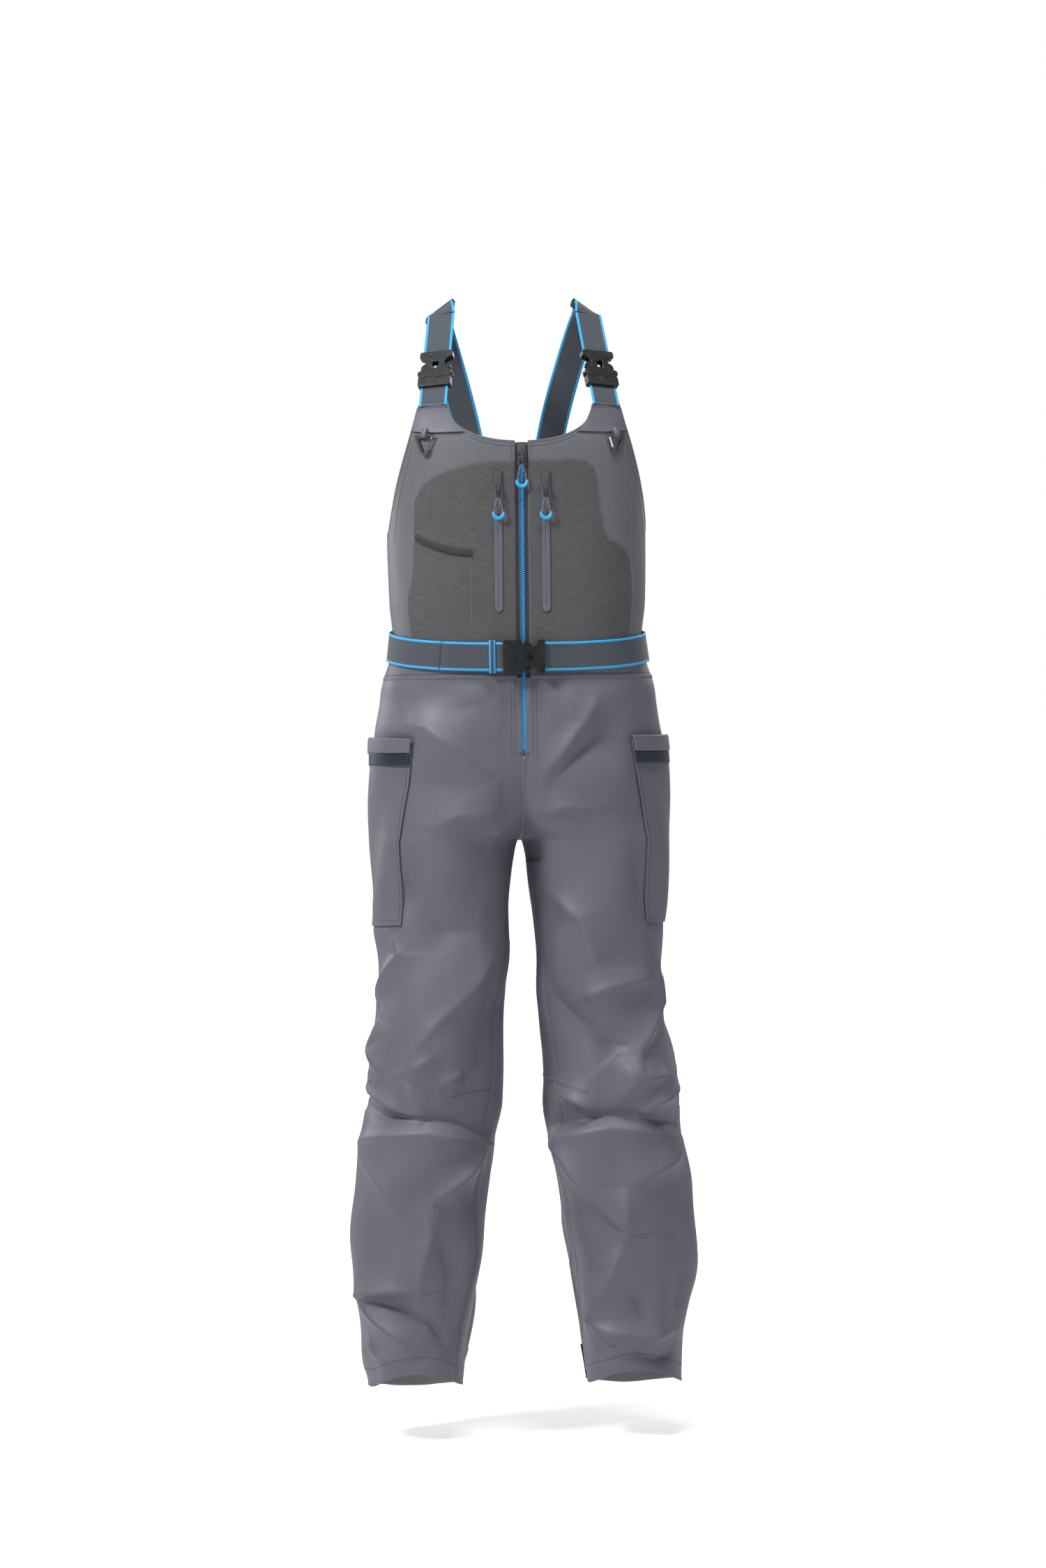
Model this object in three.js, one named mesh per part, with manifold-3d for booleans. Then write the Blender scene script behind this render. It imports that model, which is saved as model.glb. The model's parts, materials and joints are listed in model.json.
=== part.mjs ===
// Chest-high wading bibs: a laminated trouser and bib with open cuffs, worn over separate boots.
// They hang from two adjustable shoulder straps with side-release buckles and are drawn in by a waist belt.
// Millimetres, +Z up, the front faces -Y and the wearer's left is +X.
// Origin: midway between the two strap undersides at the top of the shoulders, which hold the garment up.
import * as THREE from 'three';
import { mergeVertices } from 'three/addons/utils/BufferGeometryUtils.js';
import Module from 'manifold-3d';

const wasm = await Module();
wasm.setup();

// ---- driving dimensions: heights, each measured down from the one before it ----
const STRAP_DROP = 143;        // shoulder top to the top edge of the bib tabs
const NECK_DROP = 52;          // tab top to the lowest point of the neckline
const ARMHOLE_DROP = 187;      // tab top to the underarm point
const BIB_LENGTH = 332;        // tab top to the belt at the sides
const BELT_TO_WAIST = 45;      // belt to the waist seam
const FLY_LENGTH = 108;        // waist seam to the bottom of the zip
const RISE = 225;              // waist seam to the crotch
const THIGH_LENGTH = 375;      // crotch to the middle of the knee
const SHIN_LENGTH = 392;       // middle of the knee to the hem at the sides
const KNEE_HALF_HEIGHT = 60;   // half the height of the knee panel that folds
const HEM_RISE_FRONT = 24;     // how far the hem arches up over the instep
const HEM_DROP_BACK = 12;

// ---- driving dimensions: half widths, seen from the front ----
const CHEST_HALF = 182;
const WAIST_HALF = 175;
const HIP_HALF = 196;
const SEAT_HALF = 207;
const KNEE_OUTER = 222;
const KNEE_INNER = 32;
const SHIN_OUTER = 240;
const HEM_OUTER = 220;
const HEM_INNER = 89;

// ---- driving dimensions: half depths, front and back of the middle plane ----
const CHEST_FRONT = 120;
const CHEST_TOP_FRONT = 110;
const CHEST_BACK = 118;
const WAIST_BACK = 108;
const SEAT_BACK = 130;
const CROTCH_FRONT = 112;
const KNEE_DEPTH = 93;
const HEM_DEPTH = 86;
const CHEST_SQUARENESS = 2.8;  // exponent of the torso's rounded cross-section; 2 is an ellipse

// ---- driving dimensions: sheets, straps and hardware ----
const WALL = 1.6;              // laminate panel
const GAP = 0.3;               // between pieces that touch
const SKIN_LIFT = 1;           // between a panel and a piece sewn flat on it
const PATCH = 1.2;             // thickness of a piece sewn on top of a panel
const WEB = 40;                // webbing width
const WEB_T = 1.8;             // webbing thickness
const TAB_INNER = 101;         // bib tab, inner and outer ends of its top edge
const TAB_OUTER = 140;
const TAB_HEIGHT = 38;
const SHOULDER_X = 102;        // strap centre at the top of the shoulder
const STRAP_SLOPE = 31;        // degrees from vertical of the strap in front
const SHOULDER_R = 20;
const REAR_SLOPE = 12;         // degrees that the strap falls behind the shoulder top
const REAR_STRAIGHT = 60;
const SHOULDER_ROLL = 38;      // degrees that the strap rolls outwards over the shoulder
const BUCKLE_W = 49;
const BUCKLE_BODY = 43;        // length of the socket half
const BUCKLE_FRAME = 15;       // length of the plug half's webbing frame
const BUCKLE_T = 11;
const BUCKLE_CAVITY = 5.2;
const LOWER_STRAP = 29;        // webbing between the bib tab and the buckle
const ADJUSTER_L = 24;
const ADJUSTER_W = 48;
const ZIP_EDGE = 9;            // half the opening between the panel edges at the zip
const ZIP_TAPE = 14;
const TEETH_HALF = 3.1;
const POCKET_ZIP_X = 33;
const POCKET_ZIP_TAPE = 12;
const POCKET_ZIP_LENGTH = 180;
const BELT_TILT = 18;          // how far the belt dips at the front and rises at the back
const BELT_LIFT = 3.2;
const CARGO_TOP_BELOW_WAIST = 83;
const CARGO_HEIGHT = 261;
const CARGO_FLAP = 21;

// ---- heights worked out from the lengths ----
const TAB_Z = -STRAP_DROP;
const NECK_Z = TAB_Z - NECK_DROP;
const UNDERARM_Z = TAB_Z - ARMHOLE_DROP;
const BELT_Z = TAB_Z - BIB_LENGTH;
const WAIST_Z = BELT_Z - BELT_TO_WAIST;
const FLY_Z = WAIST_Z - FLY_LENGTH;
const CROTCH_Z = WAIST_Z - RISE;
const KNEE_Z = CROTCH_Z - THIGH_LENGTH;
const HEM_Z = KNEE_Z - SHIN_LENGTH;
const KNEE_TOP = KNEE_Z + KNEE_HALF_HEIGHT;
const KNEE_BOTTOM = KNEE_Z - KNEE_HALF_HEIGHT;

const degrees = THREE.MathUtils.degToRad;
const lerp = THREE.MathUtils.lerp;
const clamp = THREE.MathUtils.clamp;

// ---- the body that the garment follows ----
// Each row: height, outer half width, half depth in front, half depth behind.
const BODY = [
  [TAB_Z, CHEST_HALF, CHEST_TOP_FRONT, CHEST_BACK - 4],
  [NECK_Z, CHEST_HALF, CHEST_FRONT, CHEST_BACK],
  [lerp(NECK_Z, BELT_Z, 0.3), CHEST_HALF, CHEST_FRONT, CHEST_BACK],
  [lerp(NECK_Z, BELT_Z, 0.78), CHEST_HALF - 3, CHEST_FRONT, lerp(CHEST_BACK, WAIST_BACK, 0.5)],
  [BELT_Z, WAIST_HALF, CHEST_FRONT, WAIST_BACK],
  [lerp(WAIST_Z, CROTCH_Z, 0.12), HIP_HALF, CHEST_FRONT, lerp(WAIST_BACK, SEAT_BACK, 0.45)],
  [lerp(WAIST_Z, CROTCH_Z, 0.55), SEAT_HALF - 1, CHEST_FRONT, SEAT_BACK],
  [CROTCH_Z, SEAT_HALF, CROTCH_FRONT, SEAT_BACK - 6],
  [lerp(CROTCH_Z, KNEE_Z, 0.5), SEAT_HALF - 7, lerp(CROTCH_FRONT, KNEE_DEPTH, 0.75), SEAT_BACK - 26],
  [KNEE_Z, KNEE_OUTER, KNEE_DEPTH, KNEE_DEPTH - 2],
  [lerp(KNEE_Z, HEM_Z, 0.5), SHIN_OUTER, KNEE_DEPTH - 3, KNEE_DEPTH + 3],
  [HEM_Z, HEM_OUTER, HEM_DEPTH - 4, HEM_DEPTH + 4],
];

// Smooth value of one column of the BODY rows at height z.
function bodyAt(column, z) {
  let i = BODY.findIndex((row) => row[0] <= z);
  if (i === 0) return BODY[0][column];
  if (i < 0) return BODY[BODY.length - 1][column];
  const [high, low] = [BODY[i - 1], BODY[i]];
  const share = (high[0] - z) / (high[0] - low[0]);
  const slopeAt = (k) => {
    if (k === 0 || k === BODY.length - 1) return 0;
    return (BODY[k + 1][column] - BODY[k - 1][column]) / (BODY[k - 1][0] - BODY[k + 1][0]);
  };
  const span = high[0] - low[0];
  const a = slopeAt(i - 1) * span;
  const b = slopeAt(i) * span;
  const s2 = share * share;
  const s3 = s2 * share;
  return high[column] * (2 * s3 - 3 * s2 + 1) + a * (s3 - 2 * s2 + share)
    + low[column] * (3 * s2 - 2 * s3) + b * (s3 - s2);
}

// The inner edge of one half: zero down to the crotch, then the inseam.
function innerAt(z) {
  if (z >= CROTCH_Z) return 0;
  if (z >= KNEE_Z) return KNEE_INNER * Math.sqrt((CROTCH_Z - z) / (CROTCH_Z - KNEE_Z));
  return lerp(KNEE_INNER, HEM_INNER, clamp((KNEE_Z - z) / (KNEE_Z - HEM_Z), 0, 1));
}

// Cross-section of one half at height z: centre cx, half width a, and the exponent n of its outline.
function section(z) {
  const outer = bodyAt(1, z);
  const sunk = clamp((WAIST_Z - z) / (WAIST_Z - CROTCH_Z), 0, 1);
  const inner = innerAt(z);
  const cx = z >= CROTCH_Z ? (outer / 2) * Math.pow(sunk, 1.5) : (outer + inner) / 2;
  const n = lerp(CHEST_SQUARENESS, 2, clamp((BELT_Z - z) / (BELT_Z - CROTCH_Z) * 1.4, 0, 1));
  return { cx, a: outer - cx, n };
}

// Point on the garment. phi is the angle round the half's centre from its outermost point,
// negative in front. lift moves the point out along the surface's horizontal normal.
function surface(side, phi, z, lift = 0) {
  const { cx, a, n } = section(z);
  const b = bodyAt(phi < 0 ? 2 : 3, z);
  const power = (v, p) => Math.sign(v) * Math.pow(Math.abs(v), p);
  const x = a * power(Math.cos(phi), 2 / n);
  const y = b * power(Math.sin(phi), 2 / n);
  const normal = new THREE.Vector2(power(x / a, n - 1) / a, power(y / b, n - 1) / b).normalize();
  return new THREE.Vector3(side * (cx + x + normal.x * lift), y + normal.y * lift, z);
}

// The angle phi at which the outline of one half reaches the distance x from the middle plane.
function phiAtX(x, z) {
  const { cx, a, n } = section(z);
  const share = clamp((x - cx) / a, -1, 1);
  return Math.acos(clamp(Math.sign(share) * Math.pow(Math.abs(share), n / 2), -1, 1));
}

// ---- solids ----
function orient(geometry) {
  const p = geometry.attributes.position;
  const index = geometry.index.array;
  const [a, b, c] = [new THREE.Vector3(), new THREE.Vector3(), new THREE.Vector3()];
  let volume = 0;
  for (let i = 0; i < index.length; i += 3) {
    a.fromBufferAttribute(p, index[i]);
    b.fromBufferAttribute(p, index[i + 1]);
    c.fromBufferAttribute(p, index[i + 2]);
    volume += a.dot(b.cross(c));
  }
  if (volume < 0) {
    for (let i = 0; i < index.length; i += 3) [index[i + 1], index[i + 2]] = [index[i + 2], index[i + 1]];
  }
  return geometry;
}

function indexed(points, triangles) {
  const geometry = new THREE.BufferGeometry().setFromPoints(points);
  geometry.setIndex(triangles);
  geometry.computeVertexNormals();
  return orient(geometry);
}

// A closed sheet: at(u, v, lift) is swept over a grid at two lifts, and its edges are walled.
// With ring set, u closes on itself.
function sheet(at, nu, nv, low, high, ring = false) {
  const columns = ring ? nu : nu + 1;
  const points = [];
  for (const lift of [high, low]) {
    for (let j = 0; j <= nv; j++) {
      for (let i = 0; i < columns; i++) points.push(at(i / nu, j / nv, lift));
    }
  }
  const layer = columns * (nv + 1);
  const id = (i, j, k) => k * layer + j * columns + (i % columns);
  const triangles = [];
  const quad = (a, b, c, d) => triangles.push(a, b, c, a, c, d);
  for (let j = 0; j < nv; j++) {
    for (let i = 0; i < nu; i++) {
      quad(id(i, j, 0), id(i + 1, j, 0), id(i + 1, j + 1, 0), id(i, j + 1, 0));
      quad(id(i, j, 1), id(i, j + 1, 1), id(i + 1, j + 1, 1), id(i + 1, j, 1));
    }
  }
  for (let i = 0; i < nu; i++) {
    quad(id(i, 0, 1), id(i + 1, 0, 1), id(i + 1, 0, 0), id(i, 0, 0));
    quad(id(i, nv, 0), id(i + 1, nv, 0), id(i + 1, nv, 1), id(i, nv, 1));
  }
  for (let j = 0; j < nv && !ring; j++) {
    quad(id(0, j, 0), id(0, j + 1, 0), id(0, j + 1, 1), id(0, j, 1));
    quad(id(nu, j, 1), id(nu, j + 1, 1), id(nu, j + 1, 0), id(nu, j, 0));
  }
  return indexed(points, triangles);
}

// A closed bar: one flat outline carried along frames, each a point with a cross and an up direction.
function carried(outline, frames) {
  const points = [];
  for (const { at, cross, up } of frames) {
    for (const [s, t] of outline) points.push(at.clone().addScaledVector(cross, s).addScaledVector(up, t));
  }
  const m = outline.length;
  const triangles = [];
  for (let k = 0; k + 1 < frames.length; k++) {
    for (let i = 0; i < m; i++) {
      const [a, b] = [k * m + i, k * m + ((i + 1) % m)];
      triangles.push(a, b, b + m, a, b + m, a + m);
    }
  }
  const flat = outline.map(([s, t]) => new THREE.Vector2(s, t));
  const clockwise = THREE.ShapeUtils.area(flat) < 0;
  if (clockwise) flat.reverse();
  const last = (frames.length - 1) * m;
  for (const face of THREE.ShapeUtils.triangulateShape(flat, [])) {
    const [p, q, r] = clockwise ? face.map((i) => m - 1 - i).reverse() : face;
    triangles.push(r, q, p, last + p, last + q, last + r);
  }
  return indexed(points, triangles);
}

function rectangle(width, low, high) {
  return [[-width / 2, low], [width / 2, low], [width / 2, high], [-width / 2, high]];
}

function toManifold(geometry) {
  const bare = geometry.index ? geometry.toNonIndexed() : geometry.clone();
  for (const name of Object.keys(bare.attributes)) if (name !== 'position') bare.deleteAttribute(name);
  const merged = mergeVertices(bare, 1e-4);
  return new wasm.Manifold(new wasm.Mesh({
    numProp: 3,
    vertProperties: new Float32Array(merged.attributes.position.array),
    triVerts: new Uint32Array(merged.index.array),
  }));
}

function fromManifold(solid) {
  const mesh = solid.getMesh();
  const geometry = new THREE.BufferGeometry();
  geometry.setAttribute('position', new THREE.BufferAttribute(mesh.vertProperties, 3));
  geometry.setIndex(new THREE.BufferAttribute(mesh.triVerts, 1));
  geometry.computeVertexNormals();
  return geometry;
}

function cut(body, ...tools) {
  return fromManifold(tools.reduce((solid, tool) => solid.subtract(toManifold(tool)), toManifold(body)));
}
function joined(...parts) {
  return fromManifold(parts.map(toManifold).reduce((solid, part) => solid.add(part)));
}

function block(x0, x1, y0, y1, z0, z1) {
  return new THREE.BoxGeometry(x1 - x0, y1 - y0, z1 - z0)
    .translate((x0 + x1) / 2, (y0 + y1) / 2, (z0 + z1) / 2);
}

// ---- materials ----
function finish(color, roughness, metalness = 0) {
  return new THREE.MeshStandardMaterial({ color, roughness, metalness });
}
const LAMINATE = finish('#6a6b74', 0.62);
const OVERLAY = finish('#4b4a4c', 0.85);
const WEBBING = finish('#4c5058', 0.9);
const BLUE = finish('#2093cf', 0.55);
const MOULDED = finish('#1d1e21', 0.45);
const CLIP = finish('#4a4f50', 0.6);
const STEEL = finish('#b9bcc0', 0.3, 1);
const BINDING = finish('#3b3835', 0.8);
const HOOK = finish('#4a4f50', 0.95);

const waders = new THREE.Group();
function add(name, geometry, material, parent = waders) {
  const mesh = new THREE.Mesh(geometry, material);
  mesh.name = name;
  parent.add(mesh);
  return mesh;
}

const SIDES = [['right', -1], ['left', 1]];
const HALF_PI = Math.PI / 2;
const SEAM = GAP / 2;
const PANEL_RADIUS = 90; // turns a small distance round a panel's edge into an angle

// ---- bib panels ----
// Neckline and tab top as one edge, u = 0 at the zip, 1 at the tab's outer end.
function bibTop(u) {
  const neckShare = 0.8;
  if (u > neckShare) return [lerp(TAB_INNER, TAB_OUTER, (u - neckShare) / (1 - neckShare)), TAB_Z];
  const turn = (u / neckShare) * HALF_PI;
  const x = TAB_INNER * Math.pow(Math.sin(turn), 2 / 2.2);
  const z = TAB_Z - NECK_DROP * Math.pow(Math.cos(turn), 2 / 2.2);
  return [Math.max(x, ZIP_EDGE), Math.max(z, NECK_Z)];
}

const armhole = new THREE.CubicBezierCurve(
  new THREE.Vector2(CHEST_HALF, UNDERARM_Z), new THREE.Vector2(CHEST_HALF - 3, UNDERARM_Z + 70),
  new THREE.Vector2(TAB_OUTER + 16, TAB_Z - 62), new THREE.Vector2(TAB_OUTER, TAB_Z));

// Outer edge of the bib: the side seam up to the underarm, then the armhole.
function bibSide(v) {
  const seamShare = (UNDERARM_Z - WAIST_Z) / (TAB_Z - WAIST_Z);
  if (v <= seamShare) return [SEAM / CHEST_HALF, lerp(WAIST_Z + SEAM, UNDERARM_Z, v / seamShare)];
  const p = armhole.getPoint((v - seamShare) / (1 - seamShare));
  return [Math.max(phiAtX(p.x, p.y), SEAM / CHEST_HALF), p.y];
}

// The four edges blended into a grid of (phi, z), phi counted from the outermost point.
function bibGrid(u, v) {
  const low = WAIST_Z + SEAM;
  const top = ([x, z]) => [phiAtX(x, z), z];
  const bottomEdge = (s) => [lerp(phiAtX(ZIP_EDGE, low), SEAM / CHEST_HALF, s), low];
  const zipEdge = (s) => {
    const z = lerp(low, NECK_Z, s);
    return [phiAtX(ZIP_EDGE, z), z];
  };
  const [c, d, l, r] = [bottomEdge(u), top(bibTop(u)), zipEdge(v), bibSide(v)];
  const corners = [bottomEdge(0), bottomEdge(1), top(bibTop(0)), top(bibTop(1))];
  return [0, 1].map((k) => (1 - v) * c[k] + v * d[k] + (1 - u) * l[k] + u * r[k]
    - ((1 - u) * (1 - v) * corners[0][k] + u * (1 - v) * corners[1][k]
      + (1 - u) * v * corners[2][k] + u * v * corners[3][k]));
}

for (const [name, side] of SIDES) {
  add(`bib_front_${name}`, sheet((u, v, lift) => {
    const [phi, z] = bibGrid(u, v);
    return surface(side, -phi, z, lift);
  }, 10, 8, -WALL, 0), LAMINATE);
}

// The back panel rises from both underarms to a flat top between the shoulder blades.
const YOKE_HALF = 76;
const YOKE_Z = TAB_Z - 118;
const YOKE_HEIGHT = 40;
function backTop(x) {
  const share = clamp((Math.abs(x) - YOKE_HALF) / (CHEST_HALF - YOKE_HALF), 0, 1);
  return lerp(YOKE_Z, UNDERARM_Z, 1 - Math.pow(1 - share * share, 0.5));
}
function backPoint(u, v, lift) {
  const side = u < 0.5 ? -1 : 1;
  const phi = Math.max(HALF_PI * (1 - Math.abs(2 * u - 1)), SEAM / CHEST_HALF);
  const top = backTop(surface(1, phi, UNDERARM_Z).x);
  return surface(side, phi, lerp(WAIST_Z + SEAM, top, v), lift);
}
add('bib_back', sheet(backPoint, 16, 6, -WALL, 0), LAMINATE);

// A trapezoid of doubled fabric that takes the rear strap ends.
add('back_yoke', sheet((u, v, lift) => {
  const half = lerp(YOKE_HALF + 10, YOKE_HALF - 4, v);
  const z = lerp(YOKE_Z - YOKE_HEIGHT, YOKE_Z, v);
  const x = lerp(-half, half, u);
  const p = surface(1, phiAtX(Math.abs(x), z), z, lift);
  return new THREE.Vector3(Math.sign(x) * p.x, p.y, z);
}, 8, 2, SKIN_LIFT, SKIN_LIFT + PATCH), LAMINATE);

// ---- trouser panels ----
// Half opening of the front edges: wide at the fly's zip, closed below it.
function frontEdge(z) {
  return lerp(ZIP_EDGE, SEAM, clamp((FLY_Z - z) / 12, 0, 1));
}
// Angle at a share of the way from the inner edge, at the middle or the inseam, to the side seam.
function trouserPhi(share, z, edge) {
  const full = innerAt(z) > 0.5 ? Math.PI - SEAM / PANEL_RADIUS : phiAtX(edge, z);
  return lerp(full, SEAM / PANEL_RADIUS, share);
}
for (const [name, side] of SIDES) {
  const low = KNEE_TOP + SEAM;
  const high = WAIST_Z - SEAM;
  add(`leg_front_${name}`, sheet((u, v, lift) => {
    const z = lerp(low, high, v);
    return surface(side, -trouserPhi(u, z, frontEdge(z)), z, lift);
  }, 8, 16, -WALL, 0), LAMINATE);
  add(`leg_back_${name}`, sheet((u, v, lift) => {
    const z = lerp(low, high, v);
    return surface(side, trouserPhi(u, z, SEAM), z, lift);
  }, 8, 16, -WALL, 0), LAMINATE);
  add(`knee_${name}`, sheet((u, v, lift) => surface(
    side, (2 * u - 1) * Math.PI, lerp(KNEE_BOTTOM + SEAM, KNEE_TOP - SEAM, v), lift,
  ), 18, 4, -WALL, 0, true), LAMINATE);
  add(`shin_${name}`, sheet((u, v, lift) => {
    const phi = (2 * u - 1) * Math.PI;
    const turn = Math.sin(phi);
    const arch = (turn < 0 ? HEM_RISE_FRONT : -HEM_DROP_BACK) * turn ** 2;
    return surface(side, phi, lerp(HEM_Z + arch, KNEE_BOTTOM - SEAM, v), lift);
  }, 20, 8, -WALL, 0, true), LAMINATE);
}

// Hook-and-loop cuff tabs, on the inner back of each hem.
const CUFF_TAB_H = 48;
const CUFF_TAB_FROM = degrees(168);
const CUFF_TAB_TO = degrees(118);
const CUFF_TAB_T = 1.2;
const CUFF_TAB_LOW = HEM_Z + 2;
for (const [name, side] of SIDES) {
  add(`cuff_tab_${name}`, sheet((u, v, lift) => surface(
    side, lerp(CUFF_TAB_FROM, CUFF_TAB_TO, u), lerp(CUFF_TAB_LOW, CUFF_TAB_LOW + CUFF_TAB_H, v), lift,
  ), 6, 1, SKIN_LIFT, SKIN_LIFT + CUFF_TAB_T), HOOK);
}

// ---- chest overlays of heather fabric ----
// Each is a grid between an inner edge beside the zip, a top edge and an outer edge, in (x, z).
const spline = (points) => new THREE.SplineCurve(points.map(([x, z]) => new THREE.Vector2(x, z)));
const OVERLAY_LOW = BELT_Z - 6;
const OVERLAY_TOP = NECK_Z - 26;
const OVERLAY_OUTER = 150;
const OVERLAYS = {
  right: {
    top: spline([[ZIP_EDGE + 1, OVERLAY_TOP], [60, OVERLAY_TOP - 3], [106, OVERLAY_TOP - 14],
      [134, OVERLAY_TOP - 31], [147, OVERLAY_TOP - 54]]),
    outer: spline([[OVERLAY_OUTER, OVERLAY_LOW], [157, BELT_Z + 58], [150, BELT_Z + 110],
      [147, OVERLAY_TOP - 54]]),
  },
  left: {
    top: spline([[ZIP_EDGE + 1, OVERLAY_TOP], [50, OVERLAY_TOP + 2], [84, OVERLAY_TOP + 1],
      [98, OVERLAY_TOP - 7]]),
    outer: spline([[OVERLAY_OUTER, OVERLAY_LOW], [156, BELT_Z + 70], [153, BELT_Z + 118], [138, BELT_Z + 137],
      [118, BELT_Z + 148], [108, BELT_Z + 185], [104, BELT_Z + 225], [98, OVERLAY_TOP - 7]]),
  },
};
function overlayPoint({ top, outer }, u, v) {
  const inner = [ZIP_EDGE + 1, lerp(OVERLAY_LOW, OVERLAY_TOP, v)];
  const low = [lerp(ZIP_EDGE + 1, OVERLAY_OUTER, u), OVERLAY_LOW];
  const corners = [[ZIP_EDGE + 1, OVERLAY_LOW], [OVERLAY_OUTER, OVERLAY_LOW],
    [ZIP_EDGE + 1, OVERLAY_TOP], top.getPoint(1).toArray()];
  const high = top.getPoint(u).toArray();
  const side = outer.getPoint(v).toArray();
  return [0, 1].map((k) => (1 - v) * low[k] + v * high[k] + (1 - u) * inner[k] + u * side[k]
    - ((1 - u) * (1 - v) * corners[0][k] + u * (1 - v) * corners[1][k]
      + (1 - u) * v * corners[2][k] + u * v * corners[3][k]));
}
for (const [name, side] of SIDES) {
  add(`overlay_${name}`, sheet((u, v, lift) => {
    const [x, z] = overlayPoint(OVERLAYS[name], u, v);
    return surface(side, -phiAtX(x, z), z, lift);
  }, 15, 10, SKIN_LIFT, SKIN_LIFT + PATCH), OVERLAY);
}
const OVERLAY_FACE = SKIN_LIFT + PATCH;

// Bound edge of the hand pocket, on the wearer's right.
const bindingLine = new THREE.QuadraticBezierCurve(
  new THREE.Vector2(146, BELT_Z + 150), new THREE.Vector2(112, BELT_Z + 128),
  new THREE.Vector2(70, BELT_Z + 126));
add('hand_pocket_binding', sheet((u, v, lift) => {
  const p = bindingLine.getPoint(u);
  const z = p.y + lerp(-4.5, 4.5, v);
  return surface(-1, -phiAtX(p.x, z), z, lift);
}, 10, 1, OVERLAY_FACE + 0.6, OVERLAY_FACE + 1.6), BINDING);

// ---- zips ----
// Frames down the middle front, from z0 to z1, on the surface in the middle plane.
function frontFrames(z0, z1, steps) {
  return Array.from({ length: steps + 1 }, (_, i) => {
    const z = lerp(z0, z1, i / steps);
    return {
      at: new THREE.Vector3(0, surface(1, -phiAtX(TEETH_HALF, z), z).y, z),
      cross: new THREE.Vector3(1, 0, 0),
      up: new THREE.Vector3(0, -1, 0),
    };
  });
}
const TAPE_BACK = -WALL - SKIN_LIFT - 1;
const TAPE_FACE = -WALL - SKIN_LIFT;
const TEETH_FACE = 0.6;
for (const [name, side] of SIDES) {
  const outline = [[0.15, TAPE_BACK], [ZIP_TAPE, TAPE_BACK], [ZIP_TAPE, TAPE_FACE], [TEETH_HALF, TAPE_FACE],
    [TEETH_HALF, TEETH_FACE], [0.15, TEETH_FACE]].map(([s, t]) => [side * s, t]);
  add(`main_zip_tape_${name}`, carried(outline, frontFrames(NECK_Z - 1, FLY_Z + 3, 12)),
    name === 'right' ? BLUE : OVERLAY);
}

// A zip slider: a short body over the teeth with a bail on top, and a channel for the teeth below.
const SLIDER_L = 17;
const SLIDER_W = 11;
const SLIDER_T = 3;
const BAIL_HALF = 1.5;
const BAIL_HOLE = 2.8;
const BAIL_TOP = 1.4;
const MAIN_SLIDER_Z = NECK_Z - 22;
function sliderGeometry(width, length, thickness) {
  const body = new THREE.Shape([
    new THREE.Vector2(-width / 2, length / 2), new THREE.Vector2(width / 2, length / 2),
    new THREE.Vector2(width / 2, 0), new THREE.Vector2(width * 0.32, -length / 2),
    new THREE.Vector2(-width * 0.32, -length / 2), new THREE.Vector2(-width / 2, 0)]);
  const plate = new THREE.ExtrudeGeometry(body, { depth: thickness, bevelEnabled: false });
  const bail = block(-BAIL_HALF, BAIL_HALF, -length * 0.34, length * 0.34,
    thickness - 0.1, thickness + BAIL_HOLE + BAIL_TOP);
  const hole = block(-2 * BAIL_HALF, 2 * BAIL_HALF, -length * 0.2, length * 0.2,
    thickness, thickness + BAIL_HOLE);
  return joined(plate, cut(bail, hole));
}

// A rectangular ring between two heights, with clipped corners.
function frameShape(half, top, bottom, wall) {
  const clipped = (h, t, b, c) => [[-h + c, t], [-h, t - c], [-h, b + c], [-h + c, b], [h - c, b], [h, b + c],
    [h, t - c], [h - c, t]].map(([x, y]) => new THREE.Vector2(x, y));
  const shape = new THREE.Shape(clipped(half, top, bottom, 1));
  shape.holes.push(new THREE.Path(clipped(half - wall, -top, bottom + wall, 0.4)));
  return shape;
}

// A closed round bar whose radius varies along a flat closed path.
function closedBar(path, steps, sides, radiusAt) {
  const up = new THREE.Vector3(0, 0, 1);
  const points = [];
  const triangles = [];
  for (let i = 0; i < steps; i++) {
    const at = path.getPoint(i / steps);
    const cross = new THREE.Vector3().crossVectors(up, path.getTangent(i / steps)).normalize();
    for (let k = 0; k < sides; k++) {
      const turn = (k / sides) * Math.PI * 2;
      const radius = radiusAt(at);
      points.push(at.clone().addScaledVector(cross, radius * Math.cos(turn))
        .addScaledVector(up, radius * Math.sin(turn)));
      const next = ((i + 1) % steps) * sides;
      const [a, b] = [i * sides + k, i * sides + ((k + 1) % sides)];
      const [c, d] = [next + k, next + ((k + 1) % sides)];
      triangles.push(a, b, d, a, d, c);
    }
  }
  return indexed(points, triangles);
}

// A pull: a flat metal loop on the slider's bail, a cord loop below it and a curved grip at its end.
const PULL_HALF = 7.2;
const LINK_REACH = 11.5;
const LINK_BAR = 0.8;
const PULL_CORD_R = 0.8;
const PULL_GRIP_R = 1.7;
function pullGeometry(drop, half) {
  const link = new THREE.ExtrudeGeometry(frameShape(3.8, LINK_BAR, -LINK_REACH, 1.3),
    { depth: 2 * LINK_BAR, bevelEnabled: false }).translate(0, 0, -LINK_BAR);
  const start = -LINK_REACH + 1;
  const path = new THREE.CatmullRomCurve3([[0, start], [2.2, start - 5], [half, -drop + half],
    [half * 0.7, -drop + 3], [0, -drop], [-half * 0.7, -drop + 3], [-half, -drop + half], [-2.2, start - 5],
    [0, start]].map(([x, y]) => new THREE.Vector3(x, y, 0)), true, 'centripetal');
  const gripTop = -drop + half * 1.35;
  return joined(link, closedBar(path, 24, 5, (at) => (at.y < gripTop ? PULL_GRIP_R : PULL_CORD_R)));
}

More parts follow.
